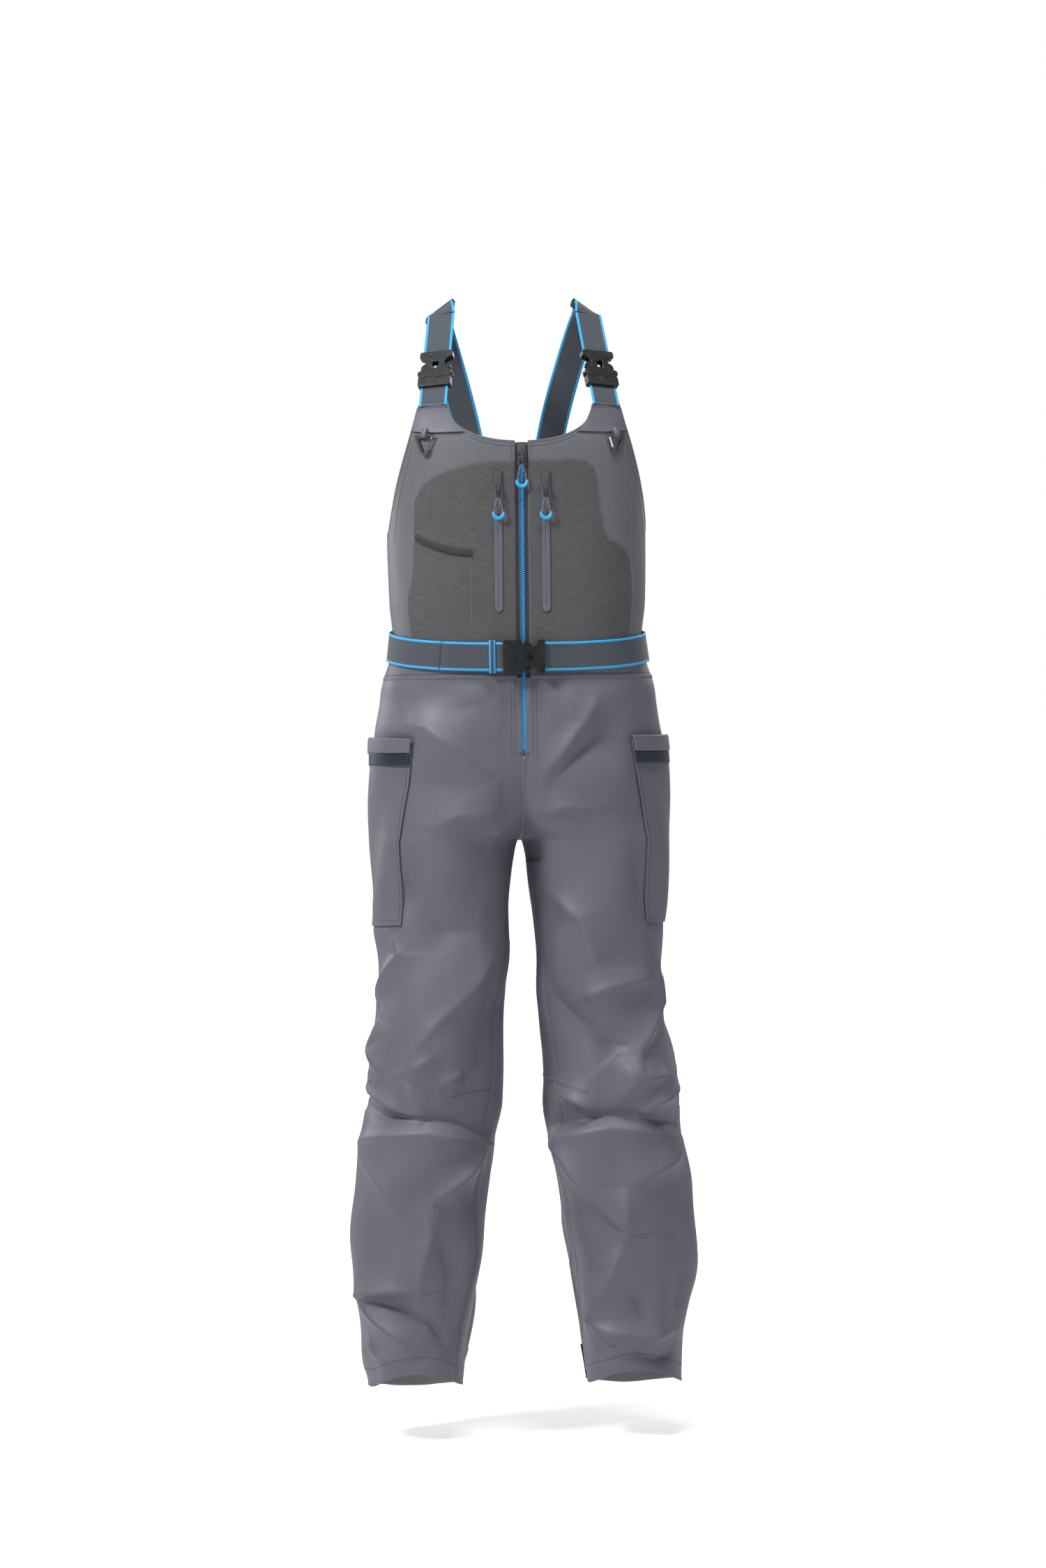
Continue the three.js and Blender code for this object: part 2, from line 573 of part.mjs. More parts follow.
// Places a zip's slider and its pull on the surface. Local x is across, local y is up, local z is outwards.
function placeSlider(name, x, z, lift, size, drop) {
  const group = new THREE.Group();
  const at = x === 0 ? frontFrames(z, z, 1)[0].at : surface(Math.sign(x), -phiAtX(Math.abs(x), z), z);
  group.position.set(x, at.y - lift, z);
  group.rotation.x = HALF_PI;
  add(`${name}_slider`, sliderGeometry(size[0], size[1], size[2]), OVERLAY, group);
  const pull = new THREE.Group();
  pull.position.set(0, 0, size[2] + BAIL_HOLE / 2);
  add(`${name}_pull`, pullGeometry(drop, PULL_HALF), OVERLAY, pull);
  group.add(pull);
  waders.add(group);
}
placeSlider('main_zip', 0, MAIN_SLIDER_Z, TEETH_FACE + GAP, [SLIDER_W, SLIDER_L, SLIDER_T], 40);

const POCKET_ZIP_TOP = NECK_Z - 56;
const POCKET_TAPE_LIFT = OVERLAY_FACE + 0.5;
const POCKET_TAPE_T = 1;
for (const [name, side] of SIDES) {
  add(`pocket_zip_tape_${name}`, sheet((u, v, lift) => {
    const z = lerp(POCKET_ZIP_TOP - POCKET_ZIP_LENGTH, POCKET_ZIP_TOP, v);
    const x = POCKET_ZIP_X + (u - 0.5) * POCKET_ZIP_TAPE;
    return surface(side, -phiAtX(x, z), z, lift);
  }, 1, 2, POCKET_TAPE_LIFT, POCKET_TAPE_LIFT + POCKET_TAPE_T), OVERLAY);
  placeSlider(`pocket_zip_${name}`, side * POCKET_ZIP_X, POCKET_ZIP_TOP - 12,
    POCKET_TAPE_LIFT + POCKET_TAPE_T + 2 * GAP, [8.5, 13, 2.4], 38);
}

// ---- shoulder straps ----
// A strap's underside runs along a path. A frame there has the strap's cross direction and outward normal.
function strapFrame(at, tangent, crossHint) {
  const t = tangent.clone().normalize();
  const cross = crossHint.clone().addScaledVector(t, -crossHint.dot(t)).normalize();
  return { at, cross, up: new THREE.Vector3().crossVectors(cross, t).normalize(), tangent: t };
}

// The strap line of one side: where it leaves the bib tab, its straight run, the turn over the shoulder,
// the straight run behind it and the fall to the yoke.
function strapLine(side) {
  const slope = degrees(STRAP_SLOPE);
  const turn = HALF_PI - slope;
  const startX = (TAB_INNER + TAB_OUTER) / 2;
  const start = surface(side, -phiAtX(startX, TAB_Z), TAB_Z, -WALL / 2 + 0.2);
  start.z += GAP + 1.2;
  const turnStart = new THREE.Vector3(0, -SHOULDER_R * Math.sin(turn), -SHOULDER_R * (1 - Math.cos(turn)));
  turnStart.x = side * lerp(SHOULDER_X, startX, turnStart.z / TAB_Z);
  const forward = turnStart.clone().sub(start).normalize();
  const sewn = new THREE.Vector3(side, 0.32, -0.1);
  const roll = degrees(SHOULDER_ROLL);
  const rolled = new THREE.Vector3(side * Math.cos(roll), 0, -Math.sin(roll));
  return { side, start, turnStart, forward, sewn, rolled, length: turnStart.distanceTo(start) };
}

// Frame on the straight front run, a distance above the bib tab. It keeps the tab's cross direction
// up to the buckle's top, and rolls towards the shoulder above it.
const BUCKLE_FROM = LOWER_STRAP;
const BUCKLE_TO = BUCKLE_FROM + BUCKLE_FRAME + GAP + BUCKLE_BODY;
function frontFrame(line, distance) {
  const share = clamp((distance - BUCKLE_TO) / (line.length - BUCKLE_TO), 0, 1) * 0.6;
  return strapFrame(line.start.clone().addScaledVector(line.forward, distance), line.forward,
    line.sewn.clone().normalize().lerp(line.rolled, share));
}
function turnFrame(line, share) {
  const angle = lerp(-(HALF_PI - degrees(STRAP_SLOPE)), degrees(REAR_SLOPE), share);
  const at = new THREE.Vector3(lerp(line.turnStart.x, line.side * SHOULDER_X, share),
    SHOULDER_R * Math.sin(angle), -SHOULDER_R * (1 - Math.cos(angle)));
  const drift = (line.side * SHOULDER_X - line.turnStart.x) / (2 * SHOULDER_R);
  const along = new THREE.Vector3(drift, Math.cos(angle), -Math.sin(angle));
  const tangent = share === 0 ? line.forward : along;
  return strapFrame(at, tangent, line.sewn.clone().normalize().lerp(line.rolled, 0.6 + 0.4 * share));
}
function rearFrame(line, distance) {
  const slope = degrees(REAR_SLOPE);
  const from = new THREE.Vector3(line.side * SHOULDER_X, SHOULDER_R * Math.sin(slope),
    -SHOULDER_R * (1 - Math.cos(slope)));
  const tangent = new THREE.Vector3(0, Math.cos(slope), -Math.sin(slope));
  return strapFrame(from.addScaledVector(tangent, distance), tangent, line.rolled);
}
const YOKE_STRAP_X = 48;
function fallFrames(line, steps) {
  const from = rearFrame(line, REAR_STRAIGHT);
  const to = new THREE.Vector3(line.side * YOKE_STRAP_X,
    surface(1, phiAtX(YOKE_STRAP_X, YOKE_Z), YOKE_Z, 0).y, YOKE_Z + GAP + 0.6);
  const curve = new THREE.CubicBezierCurve3(from.at, from.at.clone().addScaledVector(from.tangent, 45),
    to.clone().add(new THREE.Vector3(0, 2, 90)), to);
  const level = new THREE.Vector3(line.side, 0, 0);
  return Array.from({ length: steps }, (_, i) => {
    const t = (i + 1) / steps;
    const cross = line.rolled.clone().lerp(level, Math.min(1, t * 1.4));
    return strapFrame(curve.getPoint(t), curve.getTangent(t), cross);
  });
}

// A group whose x is the strap's cross direction, y runs along it and z is its outward normal.
function strapGroup(frame) {
  const group = new THREE.Group();
  const y = frame.tangent;
  const z = frame.up.clone();
  const x = new THREE.Vector3().crossVectors(y, z);
  group.matrix.makeBasis(x, y, z).setPosition(frame.at);
  group.matrix.decompose(group.position, group.quaternion, group.scale);
  waders.add(group);
  return group;
}

// ---- side-release buckle ----
// Local y runs from the plug's webbing frame towards the socket's webbing end, z is outwards, and
// z = 0 is the underside of the webbing. The plug's frame starts at y = 0.
const BUCKLE_MID = WEB_T / 2;
const WEB_SLOT = 6;
function buckleShell(shape, y0) {
  return new THREE.ExtrudeGeometry(shape, { depth: BUCKLE_T, bevelEnabled: false, curveSegments: 4 })
    .translate(0, y0, BUCKLE_MID - BUCKLE_T / 2);
}
function webSlot(y0, y1) {
  return block(-WEB / 2 - 0.5, WEB / 2 + 0.5, y0, y1, -0.6, WEB_T + 0.6);
}
function socketGeometry() {
  const [h, l] = [BUCKLE_W / 2, BUCKLE_BODY];
  const shape = new THREE.Shape();
  shape.moveTo(-h, 3);
  shape.lineTo(-h + 3, 0);
  shape.lineTo(h - 3, 0);
  shape.lineTo(h, 3);
  shape.lineTo(h, l * 0.22);
  shape.quadraticCurveTo(h * 0.5, l * 0.32, h * 0.52, l * 0.52);
  shape.quadraticCurveTo(h * 0.55, l * 0.72, h - 1, l - 9);
  shape.lineTo(h - 1, l - 2);
  shape.lineTo(h - 3, l);
  shape.lineTo(-h + 3, l);
  shape.lineTo(-h + 1, l - 2);
  shape.lineTo(-h + 1, l - 9);
  shape.quadraticCurveTo(-h * 0.55, l * 0.72, -h * 0.52, l * 0.52);
  shape.quadraticCurveTo(-h * 0.5, l * 0.32, -h, l * 0.22);
  shape.closePath();
  const window = new THREE.Path([[-4.5, l * 0.34], [4.5, l * 0.34], [4.5, l * 0.6], [-4.5, l * 0.6]]
    .map(([x, y]) => new THREE.Vector2(x, y)));
  shape.holes.push(window);
  const y0 = BUCKLE_FRAME + GAP;
  const cavity = block(-h - 1, h + 1, y0 - 1, y0 + l - 2 * WEB_SLOT,
    BUCKLE_MID - BUCKLE_CAVITY / 2, BUCKLE_MID + BUCKLE_CAVITY / 2);
  return cut(buckleShell(shape, y0), cavity, webSlot(y0 + l - WEB_SLOT, y0 + l + 1));
}
const ARM_T = BUCKLE_CAVITY - 2 * GAP;
function plugGeometry() {
  const h = BUCKLE_W / 2 - 1;
  const top = BUCKLE_FRAME;
  const shape = new THREE.Shape([[-h, 2], [-h + 2, 0], [h - 2, 0], [h, 2], [h, top], [-h, top]]
    .map(([x, y]) => new THREE.Vector2(x, y)));
  const frame = cut(buckleShell(shape, 0), webSlot(-1, WEB_SLOT));
  const guide = block(-7, 7, top - 1, top + 9, BUCKLE_MID - ARM_T / 2, BUCKLE_MID + ARM_T / 2);
  return joined(frame, guide);
}
const ARM_ROOT_X = 13;
const ARM_GAP = 0.6;
const ARM_LENGTH = 25;
function armGeometry(sign) {
  const y0 = BUCKLE_FRAME + ARM_GAP;
  const shape = new THREE.Shape([[-2.4, 0], [2.4, 0], [3.4, ARM_LENGTH * 0.55], [9, ARM_LENGTH * 0.6],
    [8, ARM_LENGTH * 0.82], [3, ARM_LENGTH], [-1, ARM_LENGTH], [-1.6, ARM_LENGTH * 0.5]]
    .map(([x, y]) => new THREE.Vector2(sign * (ARM_ROOT_X + x), y0 + y)));
  return new THREE.ExtrudeGeometry(shape, { depth: ARM_T, bevelEnabled: false })
    .translate(0, 0, BUCKLE_MID - ARM_T / 2);
}
function addBuckle(prefix, group, outer) {
  add(`${prefix}_plug`, plugGeometry(), MOULDED, group);
  add(`${prefix}_arm_a`, armGeometry(outer), MOULDED, group);
  add(`${prefix}_arm_b`, armGeometry(-outer), MOULDED, group);
  add(`${prefix}_socket`, socketGeometry(), MOULDED, group);
}

// ---- strap adjuster: a three-bar slide that the webbing passes through ----
const ADJUSTER_FROM = 2;
function adjusterGeometry() {
  const w = ADJUSTER_W / 2;
  const shell = block(-w, w, 0, ADJUSTER_L, -1.8, WEB_T + 2.6);
  const tunnel = block(-WEB / 2 - 0.5, WEB / 2 + 0.5, -1, ADJUSTER_L + 1, -GAP, WEB_T + GAP);
  const bar = 4;
  const windows = [bar, (ADJUSTER_L + bar) / 2].map((y) => block(
    -WEB / 2 - 0.5, WEB / 2 + 0.5, y, y + (ADJUSTER_L - 3 * bar) / 2, -5, 9));
  return cut(shell, tunnel, ...windows);
}

// A right-hand frame is mirrored, so its up direction is turned to keep local z pointing outwards.
for (const [name, side] of SIDES) {
  const line = strapLine(side);
  const mirrored = (frame) => (side > 0 ? frame : { ...frame, up: frame.up.clone().negate() });
  const web = rectangle(WEB, 0, WEB_T);
  const outline = side > 0 ? web : web.map(([s, t]) => [-s, -t]);
  const lower = [0, BUCKLE_FROM + WEB_SLOT - 0.5].map((d) => frontFrame(line, d));
  add(`lower_strap_${name}`, carried(outline, lower), WEBBING);
  const upper = [BUCKLE_TO - WEB_SLOT + 0.5, BUCKLE_TO + 1, lerp(BUCKLE_TO, line.length, 1 / 3),
    lerp(BUCKLE_TO, line.length, 2 / 3), line.length - GAP].map((d) => frontFrame(line, d));
  add(`front_strap_${name}`, carried(outline, upper), WEBBING);
  add(`shoulder_strap_${name}`, carried(outline, [
    ...[0, 0.25, 0.5, 0.75, 1].map((t) => turnFrame(line, t)),
    ...[REAR_STRAIGHT / 2, REAR_STRAIGHT].map((d) => rearFrame(line, d)), ...fallFrames(line, 9)]), WEBBING);
  addBuckle(`shoulder_buckle_${name}`, strapGroup(mirrored(frontFrame(line, BUCKLE_FROM))), side);
  add(`strap_adjuster_${name}`, adjusterGeometry(), MOULDED,
    strapGroup(mirrored(rearFrame(line, ADJUSTER_FROM))));
}

// ---- bib tabs and gear clips ----
// The clip hangs from a short sleeve on the tab's lower edge. Its plane lies along the bib.
const TAB_SAG = 1.2;           // rounding of the tab's lower corners
const CLIP_X = 131;
const CLIP_Z = TAB_Z - TAB_HEIGHT - 4;
const CLIP_BAR = 3.2;
const CLIP_LIFT = SKIN_LIFT + PATCH + 3.2;
const CLIP_HALF = 14;
const CLIP_DROP = 29;
function clipGroup(side) {
  const at = surface(side, -phiAtX(CLIP_X, CLIP_Z), CLIP_Z, CLIP_LIFT);
  const foot = surface(side, -phiAtX(CLIP_X, CLIP_Z), CLIP_Z, 0);
  const normal = at.clone().sub(foot).normalize();
  const up = new THREE.Vector3(0, 0, 1);
  const group = new THREE.Group();
  group.matrix.makeBasis(new THREE.Vector3().crossVectors(up, normal), up, normal).setPosition(at);
  group.matrix.decompose(group.position, group.quaternion, group.scale);
  return group;
}
function clipShape(inward) {
  const arm = (x, y) => new THREE.Vector2(inward * x, y);
  const outer = new THREE.Shape();
  outer.moveTo(...arm(CLIP_HALF, 1.6));
  outer.lineTo(...arm(-CLIP_HALF + 3, 1.6));
  outer.quadraticCurveTo(...arm(-CLIP_HALF - 1, 1.6), ...arm(-CLIP_HALF, -3));
  outer.lineTo(...arm(-6, -CLIP_DROP + 5));
  outer.quadraticCurveTo(...arm(0, -CLIP_DROP - 3), ...arm(6, -CLIP_DROP + 5));
  outer.lineTo(...arm(7.6, -CLIP_DROP + 10));
  outer.lineTo(...arm(4.2, -CLIP_DROP + 11));
  outer.lineTo(...arm(2.8, -CLIP_DROP + 7));
  outer.quadraticCurveTo(...arm(0, -CLIP_DROP + 3), ...arm(-2.8, -CLIP_DROP + 7));
  outer.lineTo(...arm(-10.4, -3));
  outer.lineTo(...arm(-9.6, -1.6));
  outer.lineTo(...arm(CLIP_HALF, -1.6));
  outer.closePath();
  return outer;
}
for (const [name, side] of SIDES) {
  const group = clipGroup(side);
  waders.add(group);
  group.updateMatrixWorld(true);
  const ring = new THREE.ExtrudeGeometry(clipShape(-side),
    { depth: CLIP_BAR, bevelEnabled: false, curveSegments: 4 }).translate(0, 0, -CLIP_BAR / 2);
  add(`gear_clip_${name}`, ring, CLIP, group);
  const gate = new THREE.Shape([[12.2, -3.2], [10.2, -3.2], [5, -CLIP_DROP + 11.6], [7, -CLIP_DROP + 10.9]]
    .map(([x, y]) => new THREE.Vector2(-side * x, y)));
  add(`gear_clip_gate_${name}`,
    new THREE.ExtrudeGeometry(gate, { depth: 2, bevelEnabled: false }).translate(0, 0, -1), STEEL, group);
  const tab = sheet((u, v, lift) => {
    const droop = u < 0.5 ? TAB_SAG : TAB_SAG * 2.5;
    const z = lerp(TAB_Z - TAB_HEIGHT + droop * (2 * u - 1) ** 2, TAB_Z, v);
    const innerX = lerp(TAB_INNER - 24, TAB_INNER, v ** 0.55);
    const outerX = lerp(TAB_OUTER + 11, TAB_OUTER, v) - 1;
    return surface(side, -phiAtX(lerp(innerX, outerX, u), z), z, lift);
  }, 6, 3, SKIN_LIFT, SKIN_LIFT + PATCH);
  const bore = CLIP_BAR / Math.SQRT2 + 0.2;
  const sleeve = joined(
    cut(block(-4, 4, -bore - 1.3, 9, -CLIP_LIFT + SKIN_LIFT + 0.6, bore + 1.3),
      block(-5, 5, -bore, bore, -bore, bore)),
    block(-4, 4, 5, 9, -CLIP_LIFT + 0.1, 0));
  sleeve.applyMatrix4(group.matrixWorld);
  add(`shoulder_tab_${name}`, joined(tab, sleeve), LAMINATE);
}

// ---- cargo pockets on the outside of the thighs ----
const CARGO_Z = WAIST_Z - CARGO_TOP_BELOW_WAIST;
const CARGO_SPAN = degrees(48);
const CARGO_T = 2.4;
for (const [name, side] of SIDES) {
  add(`cargo_pocket_${name}`, sheet((u, v, lift) => surface(
    side, lerp(-CARGO_SPAN, CARGO_SPAN, u), lerp(CARGO_Z - CARGO_HEIGHT, CARGO_Z, v), lift,
  ), 10, 10, SKIN_LIFT, SKIN_LIFT + CARGO_T), LAMINATE);
  add(`cargo_flap_${name}`, sheet((u, v, lift) => surface(
    side, lerp(-CARGO_SPAN, CARGO_SPAN, u), lerp(CARGO_Z - CARGO_FLAP, CARGO_Z, v), lift,
  ), 10, 1, SKIN_LIFT + CARGO_T + GAP + 0.1, SKIN_LIFT + CARGO_T + GAP + 1.5), LAMINATE);
}

// ---- waist belt ----
// psi runs round the body from the middle front, towards the wearer's left.
const BELT_BUCKLE_HALF = (BUCKLE_FRAME + GAP + BUCKLE_BODY) / 2;
const BELT_BUCKLE_LIFT = 9.6;
function beltFrame(side, phi) {
  const front = Math.max(0, Math.sin(-phi));
  const z = BELT_Z - BELT_TILT * Math.sin(-phi);
  const x = surface(side, phi, z).x;
  const standOff = front > 0 ? Math.exp(-((Math.max(0, Math.abs(x) - BELT_BUCKLE_HALF) / 20) ** 2)) : 0;
  const lift = lerp(BELT_LIFT, BELT_BUCKLE_LIFT - WEB_T / 2, standOff);
  const high = surface(side, phi, z + WEB / 2, lift);
  const low = surface(side, phi, z - WEB / 2, lift);
  const at = high.clone().add(low).multiplyScalar(0.5);
  const cross = high.clone().sub(low).lerp(new THREE.Vector3(0, 0, WEB), standOff).normalize();
  const out = surface(side, phi, z, lift + 1).sub(surface(side, phi, z, lift));
  return { at, cross, up: out.addScaledVector(cross, -out.dot(cross)).normalize(), x };
}
const BELT_SPLIT_X = 112;
const atX = (side, x) => beltFrame(side, -phiAtX(x, BELT_Z - BELT_TILT));
const beltGeometry = (frames) => carried(rectangle(WEB, 0, WEB_T), frames);
const nearBuckle = [0.5 - WEB_SLOT, 2, 9, 17, 27, 40, 60].map((x) => BELT_BUCKLE_HALF + x);
add('belt_front_right', beltGeometry([...nearBuckle, BELT_SPLIT_X - GAP].map((x) => atX(-1, x))), WEBBING);
const splitPhi = -phiAtX(BELT_SPLIT_X, BELT_Z - BELT_TILT);
function around(side, steps) {
  return Array.from({ length: steps + 1 }, (_, i) => beltFrame(side, lerp(splitPhi, HALF_PI, i / steps)));
}
add('belt_webbing', beltGeometry([
  ...around(-1, 20),
  ...around(1, 20).reverse().slice(1),
  ...[...nearBuckle].reverse().map((x) => atX(1, x))]), WEBBING);
const beltGroup = new THREE.Group();
const beltFront = atX(1, 1).at;
beltGroup.position.set(-BELT_BUCKLE_HALF, beltFront.y, BELT_Z - BELT_TILT);
beltGroup.matrix.makeBasis(
  new THREE.Vector3(0, 0, -1), new THREE.Vector3(1, 0, 0), new THREE.Vector3(0, -1, 0));
beltGroup.quaternion.setFromRotationMatrix(beltGroup.matrix);
waders.add(beltGroup);
addBuckle('belt_buckle', beltGroup, 1);

// A webbing loop at the middle of the back keeps the belt at its height.
const LOOP_W = 22;
const LOOP_REACH = 9;
const loopZ = BELT_Z + BELT_TILT;
const beltBack = [-1, 1].map((k) => surface(1, HALF_PI, loopZ + k * WEB / 2, BELT_LIFT).y);
const loopFace = Math.max(...beltBack) + WEB_T + 0.5;
const loopEnds = [loopZ - WEB / 2 - LOOP_REACH, loopZ + WEB / 2 + LOOP_REACH];
const panelBehind = sheet((u, v, lift) => {
  const z = lerp(loopEnds[0] - 2, loopEnds[1] + 2, v);
  const x = lerp(-LOOP_W, LOOP_W, u);
  return new THREE.Vector3(x, surface(1, HALF_PI, z, lift).y, z);
}, 1, 8, -12, SKIN_LIFT);
add('belt_loop', cut(
  block(-LOOP_W / 2, LOOP_W / 2, loopFace - 8, loopFace + 1.6, ...loopEnds),
  block(-LOOP_W, LOOP_W, loopFace - 30, loopFace, loopZ - WEB / 2 - 1.5, loopZ + WEB / 2 + 1.5),
  panelBehind), WEBBING);

export default waders;
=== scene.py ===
"""Looks of the chest waders: laminate shells with folds, heather overlays, piped webbing, zips and hardware.

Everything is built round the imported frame, in metres: +Z is up, -Y is the front and +X the wearer's left.
"""

import enum
import json
import logging
import math
from dataclasses import dataclass, field

import bpy
import numpy as np
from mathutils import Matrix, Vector

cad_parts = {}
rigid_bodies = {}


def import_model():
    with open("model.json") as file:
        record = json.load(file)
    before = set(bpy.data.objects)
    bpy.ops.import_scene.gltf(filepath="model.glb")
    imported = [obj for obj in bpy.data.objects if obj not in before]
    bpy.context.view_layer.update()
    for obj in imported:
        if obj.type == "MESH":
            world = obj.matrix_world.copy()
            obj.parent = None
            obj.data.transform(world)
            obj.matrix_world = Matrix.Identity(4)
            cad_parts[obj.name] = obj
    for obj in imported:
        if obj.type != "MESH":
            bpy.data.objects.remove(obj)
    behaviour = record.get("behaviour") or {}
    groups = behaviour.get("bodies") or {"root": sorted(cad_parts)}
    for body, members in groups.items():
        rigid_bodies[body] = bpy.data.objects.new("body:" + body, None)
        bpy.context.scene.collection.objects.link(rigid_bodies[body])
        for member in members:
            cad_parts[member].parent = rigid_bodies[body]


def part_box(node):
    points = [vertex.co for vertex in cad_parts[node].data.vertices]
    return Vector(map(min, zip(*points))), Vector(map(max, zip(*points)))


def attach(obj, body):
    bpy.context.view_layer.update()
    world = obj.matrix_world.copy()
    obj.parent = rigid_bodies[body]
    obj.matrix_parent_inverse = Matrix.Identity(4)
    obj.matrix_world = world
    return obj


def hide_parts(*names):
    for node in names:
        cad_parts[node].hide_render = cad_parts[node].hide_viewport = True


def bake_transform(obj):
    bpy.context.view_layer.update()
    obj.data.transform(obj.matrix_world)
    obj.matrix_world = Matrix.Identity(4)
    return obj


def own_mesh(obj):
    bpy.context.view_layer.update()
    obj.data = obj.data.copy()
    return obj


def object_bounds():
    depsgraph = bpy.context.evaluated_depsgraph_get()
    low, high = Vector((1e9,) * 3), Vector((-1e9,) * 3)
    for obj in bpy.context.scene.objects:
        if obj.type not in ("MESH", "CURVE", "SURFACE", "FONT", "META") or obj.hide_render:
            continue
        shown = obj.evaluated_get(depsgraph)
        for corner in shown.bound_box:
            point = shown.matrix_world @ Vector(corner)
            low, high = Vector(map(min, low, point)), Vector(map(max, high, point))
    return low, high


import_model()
CAD_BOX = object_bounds()

logging.basicConfig(level=logging.INFO, format="%(name)s: %(message)s")
LOG = logging.getLogger("waders")

Array = np.ndarray
MM = 0.001
ROOT = "bib_and_legs"
SEED = 11


TAB_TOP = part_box("bib_front_right")[1].z


def below_tab(drop: float) -> float:
    """Height at a number of millimetres below the bib's top."""
    return TAB_TOP - drop * MM


class Side(enum.Enum):
    """The wearer's side, with the sign of its X."""

    RIGHT = ("right", -1)
    LEFT = ("left", 1)

    @property
    def word(self) -> str:
        """The side's name, as the frame's nodes spell it."""
        return self.value[0]

    @property
    def sign(self) -> int:
        """-1 on the wearer's right and 1 on the left."""
        return self.value[1]


# ---------------------------------------------------------------- levels and the body form


@dataclass(frozen=True)
class Levels:
    """Heights down the garment, read from the frame's own nodes."""

    tab: float = TAB_TOP
    waist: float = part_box("leg_front_right")[1].z
    knee_top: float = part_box("knee_right")[1].z
    knee_bottom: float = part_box("knee_right")[0].z
    yoke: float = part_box("back_yoke")[1].z
    neck: float = below_tab(52)
    underarm: float = below_tab(187)
    belt: float = below_tab(332)
    fly: float = below_tab(485)
    crotch: float = below_tab(602)
    knee: float = below_tab(977)
    hem: float = below_tab(1369)


def signed_power(value: Array, power: Array | float) -> Array:
    """The size of a value raised to a power, with the value's own sign."""
    return np.sign(value) * np.abs(value) ** power


